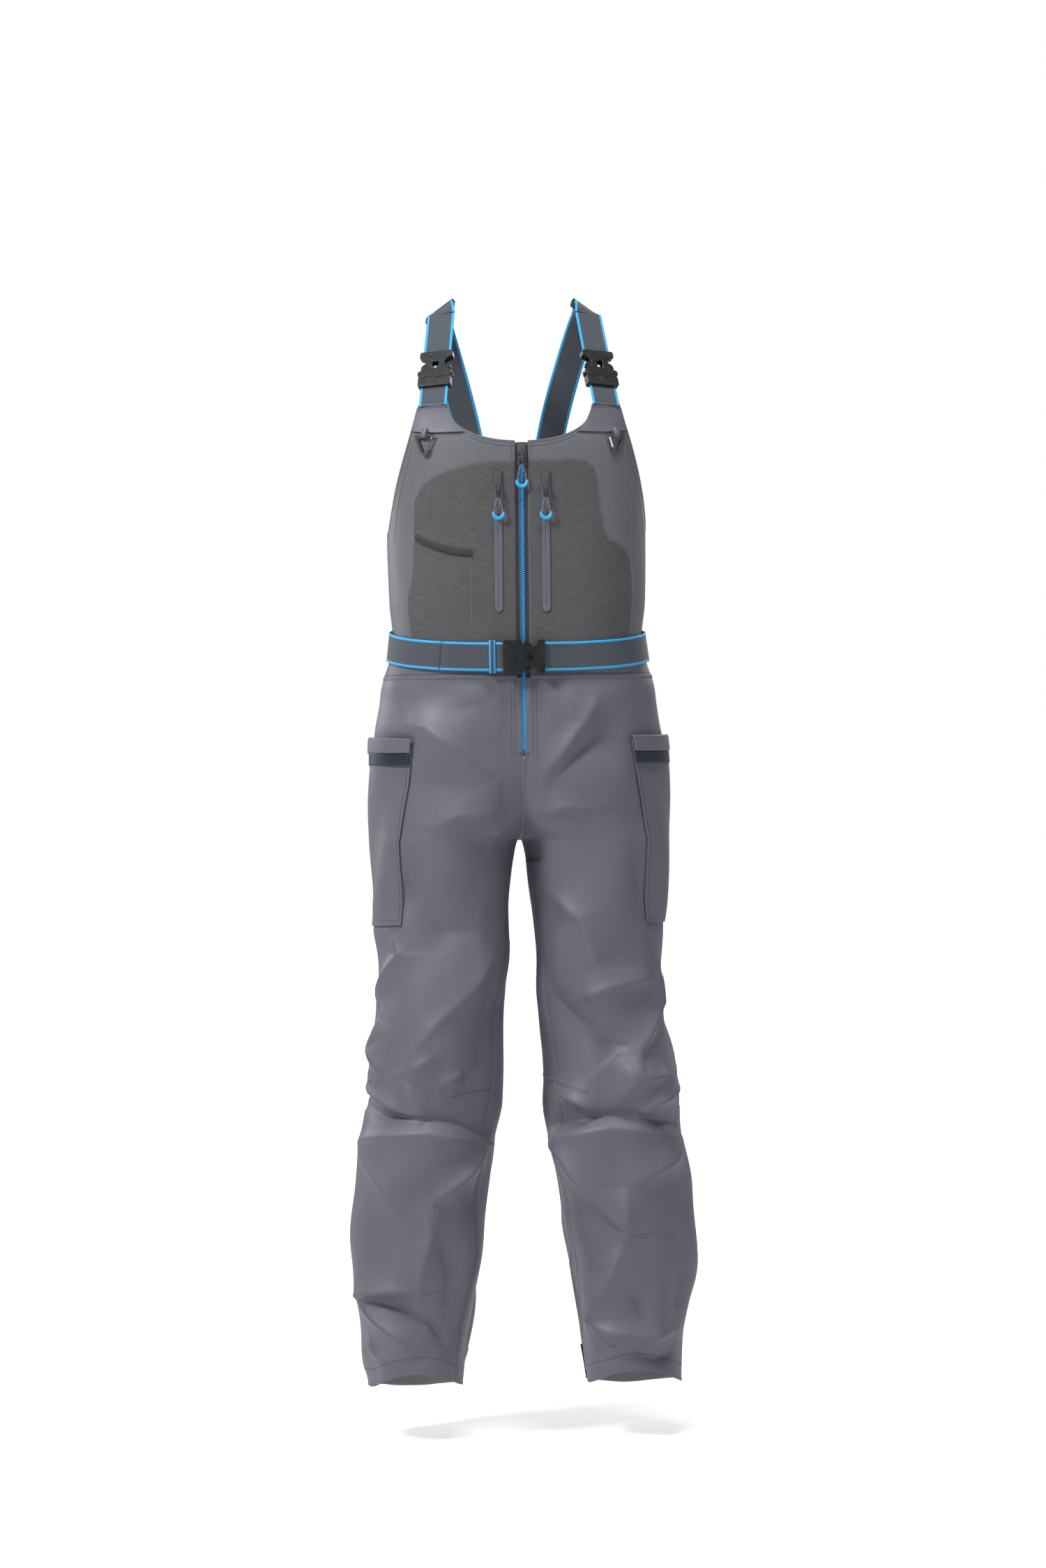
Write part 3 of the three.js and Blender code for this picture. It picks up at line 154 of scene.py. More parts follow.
@dataclass
class BodyForm:
    """The rounded body that every fabric piece follows.

    One half's outline at a height is a superellipse: x = centre + a * sign(cos t) * |cos t|^(2/n) and
    y = b * sign(sin t) * |sin t|^(2/n), where t runs from the outermost point and is negative in front.
    """

    at: Levels = field(default_factory=Levels)
    knee_inner: float = 32 * MM
    hem_inner: float = 89 * MM
    chest_squareness: float = 2.8
    rows: Array = field(init=False)

    @staticmethod
    def between(high: float, low: float, share: float) -> float:
        """Height at a share of the way from one level down to another."""
        return high + (low - high) * share

    def __post_init__(self) -> None:
        """Lays out the rows: height, outer half width, half depth in front and half depth behind."""
        at = self.at
        self.rows = np.array([
            (at.tab, 182 * MM, 110 * MM, 114 * MM),
            (at.neck, 182 * MM, 120 * MM, 118 * MM),
            (self.between(at.neck, at.belt, 0.3), 182 * MM, 120 * MM, 118 * MM),
            (self.between(at.neck, at.belt, 0.78), 179 * MM, 120 * MM, 113 * MM),
            (at.belt, 175 * MM, 120 * MM, 108 * MM),
            (self.between(at.waist, at.crotch, 0.12), 196 * MM, 120 * MM, 117.9 * MM),
            (self.between(at.waist, at.crotch, 0.55), 206 * MM, 120 * MM, 130 * MM),
            (at.crotch, 207 * MM, 112 * MM, 124 * MM),
            (self.between(at.crotch, at.knee, 0.5), 200 * MM, 97.75 * MM, 104 * MM),
            (at.knee, 222 * MM, 93 * MM, 91 * MM),
            (self.between(at.knee, at.hem, 0.5), 240 * MM, 90 * MM, 96 * MM),
            (at.hem, 220 * MM, 82 * MM, 90 * MM),
        ])

    def column(self, k: int, z: Array) -> Array:
        """Smooth value of one column of the rows: a cubic through each pair of rows with central slopes.

        Args:
            k: the column, 1 to 3.
            z: heights.
        Returns:
            The column's value at each height.
        """
        rows = self.rows
        z = np.asarray(z, float)
        i = np.clip(np.searchsorted(-rows[:, 0], -z, side="left"), 1, len(rows) - 1)
        high, low = rows[i - 1], rows[i]
        span = high[..., 0] - low[..., 0]
        t = np.clip((high[..., 0] - z) / span, 0, 1)
        slope = np.zeros(len(rows))
        slope[1:-1] = (rows[2:, k] - rows[:-2, k]) / (rows[:-2, 0] - rows[2:, 0])
        a, b = slope[i - 1] * span, slope[i] * span
        t2, t3 = t * t, t * t * t
        return (high[..., k] * (2 * t3 - 3 * t2 + 1) + a * (t3 - 2 * t2 + t)
                + low[..., k] * (3 * t2 - 2 * t3) + b * (t3 - t2))

    def inner(self, z: Array) -> Array:
        """Distance of a half's inner edge from the middle plane: zero down to the crotch, then the inseam."""
        at = self.at
        thigh = self.knee_inner * np.sqrt(np.clip((at.crotch - z) / (at.crotch - at.knee), 0, 1))
        shin = (self.hem_inner - self.knee_inner) * np.clip((at.knee - z) / (at.knee - at.hem), 0, 1)
        return thigh + shin

    def section(self, z: Array) -> tuple[Array, Array, Array]:
        """Centre, half width and squareness of one half's outline at each height."""
        at = self.at
        z = np.asarray(z, float)
        outer = self.column(1, z)
        sunk = np.clip((at.waist - z) / (at.waist - at.crotch), 0, 1)
        cx = np.where(z >= at.crotch, outer / 2 * sunk ** 1.5, (outer + self.inner(z)) / 2)
        relax = np.clip((at.belt - z) / (at.belt - at.crotch) * 1.4, 0, 1)
        return cx, outer - cx, self.chest_squareness + (2 - self.chest_squareness) * relax

    def surface(self, sign: int, phi: Array, z: Array, lift: Array | float = 0.0) -> tuple[Array, Array]:
        """Points on the form and their level outward normals.

        Args:
            sign: the side's sign.
            phi: angle from the outermost point, negative in front.
            z: heights.
            lift: distance out along the normal.
        Returns:
            Points and normals, each with a last axis of 3.
        """
        phi, z = np.broadcast_arrays(np.asarray(phi, float), np.asarray(z, float))
        cx, a, n = self.section(z)
        b = np.where(phi < 0, self.column(2, z), self.column(3, z))
        x, y = a * signed_power(np.cos(phi), 2 / n), b * signed_power(np.sin(phi), 2 / n)
        nx, ny = signed_power(x / a, n - 1) / a, signed_power(y / b, n - 1) / b
        size = np.hypot(nx, ny)
        nx, ny = nx / size, ny / size
        points = np.stack([sign * (cx + x + nx * lift), y + ny * lift, z + 0 * x], -1)
        return points, np.stack([sign * nx, ny, 0 * nx], -1)

    def phi_at(self, x: Array, z: Array) -> Array:
        """Angle at which the outline reaches the distance x from the middle plane."""
        cx, a, n = self.section(z)
        share = np.clip((x - cx) / a, -1, 1)
        return np.arccos(np.clip(np.sign(share) * np.abs(share) ** (n / 2), -1, 1))


def smooth(t: Array) -> Array:
    """Smooth step from 0 to 1 as t goes from 0 to 1."""
    t = np.clip(t, 0, 1)
    return t * t * (3 - 2 * t)


# ---------------------------------------------------------------- folds worn into the cloth


@dataclass(frozen=True)
class Fold:
    """One crease: its line as (distance from the middle plane, height) in mm, its height and flanks."""

    line: tuple[tuple[float, float], ...]
    height: float
    above: float = 22.0
    below: float = 14.0
    behind: bool = False


WRAP_RADIUS = 100 * MM  # turns the angle round a leg into a distance along the cloth


@dataclass
class FoldField:
    """Height of the cloth over the form: creases along lines, and slow waves between them."""

    form: BodyForm
    sign: int
    folds: tuple[Fold, ...]
    crest: float = 1.6 * MM
    depth: float = 2.3
    waves: int = 26

    def _lines(self) -> list[tuple[Fold, Array]]:
        """Each fold's line in cloth coordinates: distance round from the outermost point, and height."""
        lines = []
        for fold in self.folds:
            xz = np.array(fold.line) * MM
            phi = self.form.phi_at(xz[:, 0], xz[:, 1]) * (1 if fold.behind else -1)
            lines.append((fold, np.stack([phi * WRAP_RADIUS, xz[:, 1]], -1)))
        return lines

    def height(self, phi: Array, z: Array) -> Array:
        """Sum over the creases of height * exp(-(rounded distance) / flank), plus slow waves.

        The rounded distance is sqrt(d^2 + crest^2) - crest, so a crease has a soft crest and long flanks,
        and each crease fades towards its two ends.

        Args:
            phi: angles round the half.
            z: heights.
        Returns:
            Outward distance of the cloth from the form, in metres.
        """
        s = phi * WRAP_RADIUS
        total = np.zeros_like(s)
        for fold, line in self._lines():
            lengths = np.linalg.norm(np.diff(line, axis=0), axis=1)
            whole, run = lengths.sum(), 0.0
            best = np.full(s.shape, np.inf)
            value = np.zeros_like(s)
            for (start, end), length in zip(zip(line[:-1], line[1:]), lengths):
                along = (end - start) / length
                ds, dz = s - start[0], z - start[1]
                t = np.clip(ds * along[0] + dz * along[1], 0, length)
                off_s, off_z = ds - t * along[0], dz - t * along[1]
                d = np.hypot(off_s, off_z)
                rounded = np.sqrt(d * d + self.crest ** 2) - self.crest
                flank = np.where(off_z >= 0, fold.above, fold.below) * MM
                share = (run + t) / whole
                fade = np.clip(np.sin(np.pi * np.clip(share, 0.04, 0.96)), 0, 1) ** 0.6
                here = fold.height * self.depth * MM * np.exp(-rounded / flank) * fade
                closer = d < best
                value = np.where(closer, here, value)
                best = np.minimum(best, d)
                run += length
            total += value
        return total + self.slow(s, z)

    def slow(self, s: Array, z: Array) -> Array:
        """Sum of seeded sine waves of 60 to 240 mm, bent by a second set so that they don't look regular."""
        rng = np.random.default_rng(SEED + self.sign)
        total = np.zeros_like(s)
        for _ in range(self.waves):
            length = rng.uniform(60, 240) * MM
            turn = rng.uniform(0, math.pi)
            shift = rng.uniform(0, 2 * math.pi)
            bend = 0.5 * np.sin(s * 21 + shift * 3) + 0.5 * np.sin(z * 17 + shift)
            phase = 2 * math.pi / length * (s * math.cos(turn) + z * math.sin(turn)) + bend + shift
            total += np.sin(phase) * length * 0.0050
        return total


# ---------------------------------------------------------------- meshes from arrays


def make_piece(name: str, points: Array, faces: Array, uv: Array | None = None,
               slots: Array | None = None) -> bpy.types.Object:
    """Puts arrays into a mesh object with smooth faces.

    Args:
        name: the piece's name.
        points: vertices, one row of 3 each.
        faces: quads or triangles as rows of vertex numbers.
        uv: one row of 2 for each vertex, in metres of cloth.
        slots: material number of each face.
    Returns:
        The object, at the origin and linked to the scene.
    """
    mesh = bpy.data.meshes.new(name)
    corners = faces.shape[1]
    mesh.vertices.add(len(points))
    mesh.vertices.foreach_set("co", np.ascontiguousarray(points, np.float32).ravel())
    mesh.loops.add(faces.size)
    mesh.loops.foreach_set("vertex_index", np.ascontiguousarray(faces, np.int32).ravel())
    mesh.polygons.add(len(faces))
    mesh.polygons.foreach_set("loop_start", np.arange(0, faces.size, corners, dtype=np.int32))
    mesh.polygons.foreach_set("use_smooth", np.ones(len(faces), bool))
    if slots is not None:
        mesh.polygons.foreach_set("material_index", np.ascontiguousarray(slots, np.int32))
    if uv is not None:
        layer = mesh.uv_layers.new(name="cloth")
        layer.data.foreach_set("uv", np.ascontiguousarray(uv[faces.ravel()], np.float32).ravel())
    mesh.update(calc_edges=True)
    mesh.validate()
    piece = bpy.data.objects.new(name, mesh)
    bpy.context.scene.collection.objects.link(piece)
    return piece


def grid_faces(rows: int, columns: int, closed: bool = False, flip: bool = False, first: int = 0) -> Array:
    """Quads between neighbouring points of a grid laid out row by row.

    Args:
        rows, columns: the grid's size in points.
        closed: whether the last column joins the first.
        flip: whether the faces turn the other way.
        first: number of the grid's first vertex.
    Returns:
        One row of 4 vertex numbers for each quad.
    """
    j, i = np.meshgrid(np.arange(rows - 1), np.arange(columns if closed else columns - 1), indexing="ij")
    right = (i + 1) % columns
    quads = np.stack([j * columns + i, j * columns + right, (j + 1) * columns + right,
                      (j + 1) * columns + i], -1)
    quads = quads.reshape(-1, 4) + first
    return quads[:, ::-1] if flip else quads


def grid_normals(points: Array) -> Array:
    """Unit normals of a grid of points: the cross product of its differences along the two ways."""
    along_columns = np.gradient(points, axis=1)
    along_rows = np.gradient(points, axis=0)
    normal = np.cross(along_columns, along_rows)
    return normal / np.maximum(np.linalg.norm(normal, axis=-1, keepdims=True), 1e-12)


def cloth_uv(points: Array) -> Array:
    """Cloth coordinates of a grid in metres: running lengths along its middle row and down each column."""
    across = np.linalg.norm(np.diff(points, axis=1), axis=-1).mean(0)
    down = np.linalg.norm(np.diff(points, axis=0), axis=-1).mean(1)
    u = np.concatenate([[0], np.cumsum(across)])
    v = np.concatenate([[0], np.cumsum(down)])
    return np.stack(np.meshgrid(u, v), -1)


def cloth_piece(name: str, points: Array, outward: Array, uv: Array | None = None) -> bpy.types.Object:
    """A single sheet over a grid of points, with its faces turned to the outward side.

    Args:
        name: the piece's name.
        points: a grid of points, rows by columns by 3.
        outward: outward directions, with the same shape.
        uv: cloth coordinates, or None to measure them along the grid.
    Returns:
        The piece, without a wall.
    """
    rows, columns = points.shape[:2]
    flip = float((grid_normals(points) * outward).sum(-1).mean()) < 0
    uv = cloth_uv(points) if uv is None else uv
    return make_piece(name, points.reshape(-1, 3), grid_faces(rows, columns, flip=flip), uv.reshape(-1, 2))


def thicken(piece: bpy.types.Object, thickness: float, lining: bool = False) -> bpy.types.Object:
    """Gives a sheet its wall inwards, with a rim. A lining takes the piece's second material.

    Args:
        piece: a sheet.
        thickness: the wall, in metres.
        lining: whether the inside takes the second material.
    Returns:
        The same piece.
    """
    wall = piece.modifiers.new("wall", "SOLIDIFY")
    wall.thickness = thickness
    wall.offset = -1
    wall.use_rim = True
    if lining:
        wall.material_offset = 1
    return piece


def carry(name: str, profile: Array, at: Array, cross: Array, up: Array, slots: Array | None = None,
          closed: bool = False) -> bpy.types.Object:
    """A bar: a closed profile carried along frames, with fan caps unless its path is closed.

    Each vertex is at + cross * profile x + up * profile y.

    Args:
        name: the piece's name.
        profile: rows of (across, up), counter-clockwise when seen along the path.
        at, cross, up: one row of 3 for each frame.
        slots: material number for each edge of the profile.
        closed: whether the path closes on itself.
    Returns:
        The piece, with cloth coordinates of distance round the profile and along the path.
    """
    count, corners = len(at), len(profile)
    points = at[:, None] + cross[:, None] * profile[None, :, :1] + up[:, None] * profile[None, :, 1:]
    spans = count if closed else count - 1
    j, i = np.meshgrid(np.arange(spans), np.arange(corners), indexing="ij")
    start, following, right = j * corners, (j + 1) % count * corners, (i + 1) % corners
    faces = np.stack([start + i, start + right, following + right, following + i], -1).reshape(-1, 4)
    face_slots = np.tile(slots if slots is not None else np.zeros(corners, int), spans)
    points = points.reshape(-1, 3)
    run = np.concatenate([[0], np.cumsum(np.linalg.norm(np.diff(at, axis=0), axis=1))])
    uv = np.stack([np.tile(profile[:, 0], count), np.repeat(run, corners)], -1)
    if not closed:
        middle = corners // 2
        j = np.arange(middle - 1)
        low = np.stack([j, j + 1, corners - 2 - j, corners - 1 - j], -1)[:, ::-1]
        faces = np.concatenate([faces, low, low[:, ::-1] + (count - 1) * corners])
        face_slots = np.concatenate([face_slots, np.zeros(2 * len(low), int)])
    piece = make_piece(name, points, faces, uv, face_slots)
    volume_sign = np.einsum("ij,ij->i", points[faces[:, 0]] - points.mean(0), np.cross(
        points[faces[:, 1]] - points[faces[:, 0]], points[faces[:, 2]] - points[faces[:, 0]])).sum()
    if volume_sign < 0:
        piece.data.flip_normals()
    return piece


def scatter(name: str, template: Array, faces: Array, at: Array, x: Array, y: Array,
            z: Array) -> bpy.types.Object:
    """Copies of a small closed shape, one on each frame, as one piece.

    Each vertex is at + x * template x + y * template y + z * template z.

    Args:
        name: the piece's name.
        template: the shape's vertices.
        faces: its faces, as rows of vertex numbers.
        at, x, y, z: origin and axes of each copy, a row of 3 each.
    Returns:
        The piece that holds all the copies.
    """
    points = at[:, None] + x[:, None] * template[None, :, :1] + y[:, None] * template[None, :, 1:2] \
        + z[:, None] * template[None, :, 2:]
    whole = (faces[None] + (np.arange(len(at)) * len(template))[:, None, None]).reshape(-1, faces.shape[1])
    return make_piece(name, points.reshape(-1, 3), whole)


def capsule(length: float, radius: float, flat: float = 0.7, sides: int = 6) -> tuple[Array, Array]:
    """A stitch lying along x: five rings whose radius follows a half ellipse, closed at both ends.

    Args:
        length, radius: the stitch's size.
        flat: its height as a share of its width.
        sides: points in each ring.
    Returns:
        Vertices and faces.
    """
    stations = np.array([-0.5, -0.36, 0.0, 0.36, 0.5]) * length
    radii = radius * np.array([0.25, 0.8, 1.0, 0.8, 0.25])
    turn = np.arange(sides) / sides * 2 * math.pi
    ring = np.stack([np.zeros(sides), np.cos(turn), np.sin(turn) * flat], -1)
    points = np.concatenate([ring * r + [s, 0, 0] for s, r in zip(stations, radii)])
    faces = grid_faces(len(stations), sides, closed=True)
    cap = np.array([[0, 1, 2, 3], [3, 4, 5, 0]])
    faces = np.concatenate([faces[:, ::-1], cap, cap[:, ::-1] + (len(stations) - 1) * sides])
    return points, faces


# ---------------------------------------------------------------- finishes


class NodeTools:
    """Short ways to add and join shader nodes in one tree."""

    def __init__(self, tree: bpy.types.NodeTree) -> None:
        """Keeps the tree that nodes are added to."""
        self.tree = tree

    def add(self, kind: str, **settings: object) -> bpy.types.Node:
        """Adds a node and sets its properties; a setting named in_N fills input N."""
        node = self.tree.nodes.new(kind)
        for key, value in settings.items():
            if key.startswith("in_"):
                node.inputs[int(key[3:])].default_value = value
            else:
                setattr(node, key, value)
        return node

    def join(self, start: bpy.types.NodeSocket, end: bpy.types.NodeSocket) -> None:
        """Links two sockets."""
        self.tree.links.new(start, end)

    def math(self, operation: str, a: object, b: object = 0.0, c: object = 0.0) -> bpy.types.NodeSocket:
        """A Math node whose inputs are sockets or numbers; returns its output.

        Args:
            operation: the node's operation.
            a, b, c: its inputs.
        Returns:
            The output socket.
        """
        node = self.add("ShaderNodeMath", operation=operation)
        for socket, value in zip(node.inputs, (a, b, c)):
            if isinstance(value, bpy.types.NodeSocket):
                self.join(value, socket)
            else:
                socket.default_value = value
        return node.outputs[0]

    def mix(self, share: object, a: object, b: object, blend: str = "MIX") -> bpy.types.NodeSocket:
        """A colour Mix node whose inputs are sockets or values; returns its output.

        Args:
            share: how much of b, 0 to 1.
            a, b: the two colours.
            blend: how they are mixed.
        Returns:
            The output socket.
        """
        node = self.add("ShaderNodeMix", data_type="RGBA", blend_type=blend)
        for socket, value in zip((node.inputs[0], node.inputs[6], node.inputs[7]), (share, a, b)):
            if isinstance(value, bpy.types.NodeSocket):
                self.join(value, socket)
            else:
                socket.default_value = value if not isinstance(value, tuple) else (*value, 1.0)
        return node.outputs[2]

    def ramp(self, value: bpy.types.NodeSocket, low: float, high: float) -> bpy.types.NodeSocket:
        """Maps low..high to 0..1, held inside."""
        node = self.add("ShaderNodeMapRange", in_1=low, in_2=high)
        self.join(value, node.inputs[0])
        return node.outputs[0]


def new_group(
    name: str, inputs: dict[str, float], outputs: tuple[str, ...],
) -> tuple[bpy.types.NodeTree, NodeTools, bpy.types.Node, bpy.types.Node]:
    """A shader group with a vector input, named number inputs and number outputs.

    Args:
        name: the group's name.
        inputs: the number inputs and their defaults.
        outputs: the names of the number outputs.
    Returns:
        The group, its tools, and its input and output nodes.
    """
    group = bpy.data.node_groups.new(name, "ShaderNodeTree")
    group.interface.new_socket("Place", in_out="INPUT", socket_type="NodeSocketVector")
    for label, value in inputs.items():
        socket = group.interface.new_socket(label, in_out="INPUT", socket_type="NodeSocketFloat")
        socket.default_value = value
    for label in outputs:
        group.interface.new_socket(label, in_out="OUTPUT", socket_type="NodeSocketFloat")
    tools = NodeTools(group)
    return group, tools, tools.add("NodeGroupInput"), tools.add("NodeGroupOutput")


def weave_group() -> bpy.types.NodeTree:
    """Plain weave: two rows of threads at right angles, each a sine wave, laid over each other."""
    group, n, given, out = new_group("plain_weave", {"Threads per metre": 1500.0, "Unevenness": 0.3},
                                     ("Height", "Shade"))
    split = n.add("ShaderNodeSeparateXYZ")
    n.join(given.outputs[0], split.inputs[0])
    rough = n.add("ShaderNodeTexNoise", in_2=260.0, in_3=2.0)
    n.join(given.outputs[0], rough.inputs["Vector"])
    heights = []
    for axis, other in ((0, 1), (1, 0)):
        phase = n.math("MULTIPLY", split.outputs[axis], given.outputs[1])
        beside = n.math("MULTIPLY", split.outputs[other], given.outputs[1])
        thread = n.math("ABSOLUTE", n.math("SINE", n.math("MULTIPLY", phase, math.pi)))
        under = n.math("SINE", n.math("MULTIPLY", n.math("ADD", beside, float(axis)), math.pi))
        heights.append(n.math("MULTIPLY", thread, n.math("MULTIPLY_ADD", under, 0.5, 0.5)))
    height = n.math("MAXIMUM", *heights)
    uneven = n.math("MULTIPLY", n.math("SUBTRACT", rough.outputs[0], 0.5), given.outputs[2])
    n.join(n.math("ADD", height, uneven), out.inputs[0])
    # Shade: half the threads' height plus the same unevenness. The cloth colours raised threads lighter and
    # the hollows between them darker, which is painted shade, on top of uneven tone.
    n.join(n.math("ADD", n.math("MULTIPLY", height, 0.5), uneven), out.inputs[1])
    return group


def heather_group() -> bpy.types.NodeTree:
    """Heather: short streaks of light and dark yarn along x, from noise drawn out along x, at two sizes."""
    group, n, given, out = new_group("heather", {"Contrast": 1.0}, ("Streaks",))
    streaks = []
    for size, share in ((420.0, 0.6), (950.0, 0.4)):
        drawn = n.add("ShaderNodeMapping", vector_type="POINT")
        drawn.inputs["Scale"].default_value = (size * 0.16, size * 1.7, size)
        n.join(given.outputs[0], drawn.inputs["Vector"])
        noise = n.add("ShaderNodeTexNoise", in_2=1.0, in_3=2.0)
        n.join(drawn.outputs[0], noise.inputs["Vector"])
        streaks.append(n.math("MULTIPLY", n.math("SUBTRACT", noise.outputs[0], 0.5), share))
    n.join(n.math("MULTIPLY", n.math("ADD", *streaks), given.outputs[1]), out.inputs[0])
    return group


def grain_group() -> bpy.types.NodeTree:
    """Moulded grain and handling marks: fine noise for height, broad noise for gloss."""
    group, n, given, out = new_group("moulded_grain", {"Size": 1.0}, ("Height", "Gloss"))
    for k, (scale, detail) in enumerate(((2600.0, 2.0), (140.0, 4.0))):
        noise = n.add("ShaderNodeTexNoise", in_3=detail)
        n.join(given.outputs[0], noise.inputs["Vector"])
        n.join(n.math("MULTIPLY", given.outputs[1], scale), noise.inputs["Scale"])
        n.join(noise.outputs[0], out.inputs[k])
    return group


def contour_group() -> bpy.types.NodeTree:
    """Faint printed lines at equal heights of a slow noise, like the rings of a relief map."""
    group, n, given, out = new_group("relief_lines", {"Lines": 26.0}, ("Line",))
    noise = n.add("ShaderNodeTexNoise", in_2=11.0, in_3=1.5)
    n.join(given.outputs[0], noise.inputs["Vector"])
    band = n.math("FRACT", n.math("MULTIPLY", noise.outputs[0], given.outputs[1]))
    n.join(n.ramp(n.math("ABSOLUTE", n.math("SUBTRACT", band, 0.5)), 0.28, 0.1), out.inputs[0])
    return group


def linear(code: str) -> tuple[float, float, float]:
    """Linear colour of a hex code."""
    parts = [int(code[k:k + 2], 16) / 255 for k in (0, 2, 4)]
    return tuple(p / 12.92 if p <= 0.04045 else ((p + 0.055) / 1.055) ** 2.4 for p in parts)


@dataclass(frozen=True)
class ClothFinish:
    """A woven or coated cloth: two shades, threads, sheen and how much its light and dark yarns differ."""

    name: str
    light: str
    dark: str
    roughness: float = 0.62
    threads: float = 1500.0
    weave_height: float = 0.00006
    sheen: float = 0.12
    streaks: float = 0.0
    contours: float = 0.0
    blotch: float = 0.35

    def build(self, groups: dict[str, bpy.types.NodeTree]) -> bpy.types.Material:
        """Makes the material: cloth coordinates drive the weave, and broad noise varies the colour."""
        material = bpy.data.materials.new(self.name)
        material.use_nodes = True
        n = NodeTools(material.node_tree)
        shader = material.node_tree.nodes["Principled BSDF"]
        uv = n.add("ShaderNodeUVMap", uv_map="cloth").outputs[0]
        place = n.add("ShaderNodeTexCoord").outputs["Object"]
        weave = n.add("ShaderNodeGroup", node_tree=groups["weave"])
        n.join(uv, weave.inputs[0])
        weave.inputs[1].default_value = self.threads
        broad = n.add("ShaderNodeTexNoise", in_2=9.0, in_3=4.0)
        n.join(place, broad.inputs["Vector"])
        fine = n.add("ShaderNodeTexNoise", in_2=70.0, in_3=3.0)
        n.join(place, fine.inputs["Vector"])
        share = n.math("MULTIPLY_ADD", n.math("SUBTRACT", broad.outputs[0], 0.5), self.blotch, 0.5)
        share = n.math("ADD", share, n.math("MULTIPLY", n.math("SUBTRACT", fine.outputs[0], 0.5),
                                            self.blotch * 0.6))
        # Painted shade of the weave: lighter on raised threads and darker in the hollows between them. Its
        # unevenness part is random tone.
        share = n.math("ADD", share, n.math("MULTIPLY", n.math("SUBTRACT", weave.outputs[1], 0.3), 0.22))
        if self.streaks:
            heather = n.add("ShaderNodeGroup", node_tree=groups["heather"])
            n.join(uv, heather.inputs[0])
            heather.inputs[1].default_value = self.streaks
            share = n.math("ADD", share, heather.outputs[0])
        if self.contours:
            lines = n.add("ShaderNodeGroup", node_tree=groups["contours"])
            n.join(uv, lines.inputs[0])
            share = n.math("ADD", share, n.math("MULTIPLY", lines.outputs[0], self.contours))
        colour = n.mix(share, linear(self.dark), linear(self.light))
        n.join(colour, shader.inputs["Base Color"])
        rough = n.math("MULTIPLY_ADD", n.math("SUBTRACT", fine.outputs[0], 0.5), 0.18, self.roughness)
        n.join(rough, shader.inputs["Roughness"])
        shader.inputs["Sheen Weight"].default_value = self.sheen
        shader.inputs["Sheen Roughness"].default_value = 0.4
        bump = n.add("ShaderNodeBump")
        bump.inputs["Strength"].default_value = 0.55
        bump.inputs["Distance"].default_value = self.weave_height
        n.join(weave.outputs[0], bump.inputs["Height"])
        n.join(bump.outputs[0], shader.inputs["Normal"])
        return material


@dataclass(frozen=True)
class HardFinish:
    """Moulded plastic or metal: colour, gloss, and wear that lightens its raised edges."""

    name: str
    colour: str
    worn: str
    roughness: float
    metallic: float = 0.0
    grain: float = 1.0
    grain_height: float = 0.00004

    def build(self, groups: dict[str, bpy.types.NodeTree]) -> bpy.types.Material:
        """Makes the material: pointedness finds the edges, and grain gives height and changes of gloss."""
        material = bpy.data.materials.new(self.name)
        material.use_nodes = True
        n = NodeTools(material.node_tree)
        shader = material.node_tree.nodes["Principled BSDF"]
        place = n.add("ShaderNodeTexCoord").outputs["Object"]
        grain = n.add("ShaderNodeGroup", node_tree=groups["grain"])
        n.join(place, grain.inputs[0])
        grain.inputs[1].default_value = self.grain
        edges = n.ramp(n.add("ShaderNodeNewGeometry").outputs["Pointiness"], 0.505, 0.56)
        worn = n.math("MULTIPLY", edges, n.ramp(grain.outputs[1], 0.35, 0.7))
        n.join(n.mix(n.math("MULTIPLY", worn, 0.6), linear(self.colour), linear(self.worn)),
               shader.inputs["Base Color"])
        n.join(n.math("MULTIPLY_ADD", n.math("SUBTRACT", grain.outputs[1], 0.5), 0.25, self.roughness),
               shader.inputs["Roughness"])
        shader.inputs["Metallic"].default_value = self.metallic
        bump = n.add("ShaderNodeBump")
        bump.inputs["Strength"].default_value = 0.5
        bump.inputs["Distance"].default_value = self.grain_height
        n.join(grain.outputs[0], bump.inputs["Height"])
        n.join(bump.outputs[0], shader.inputs["Normal"])
        return material


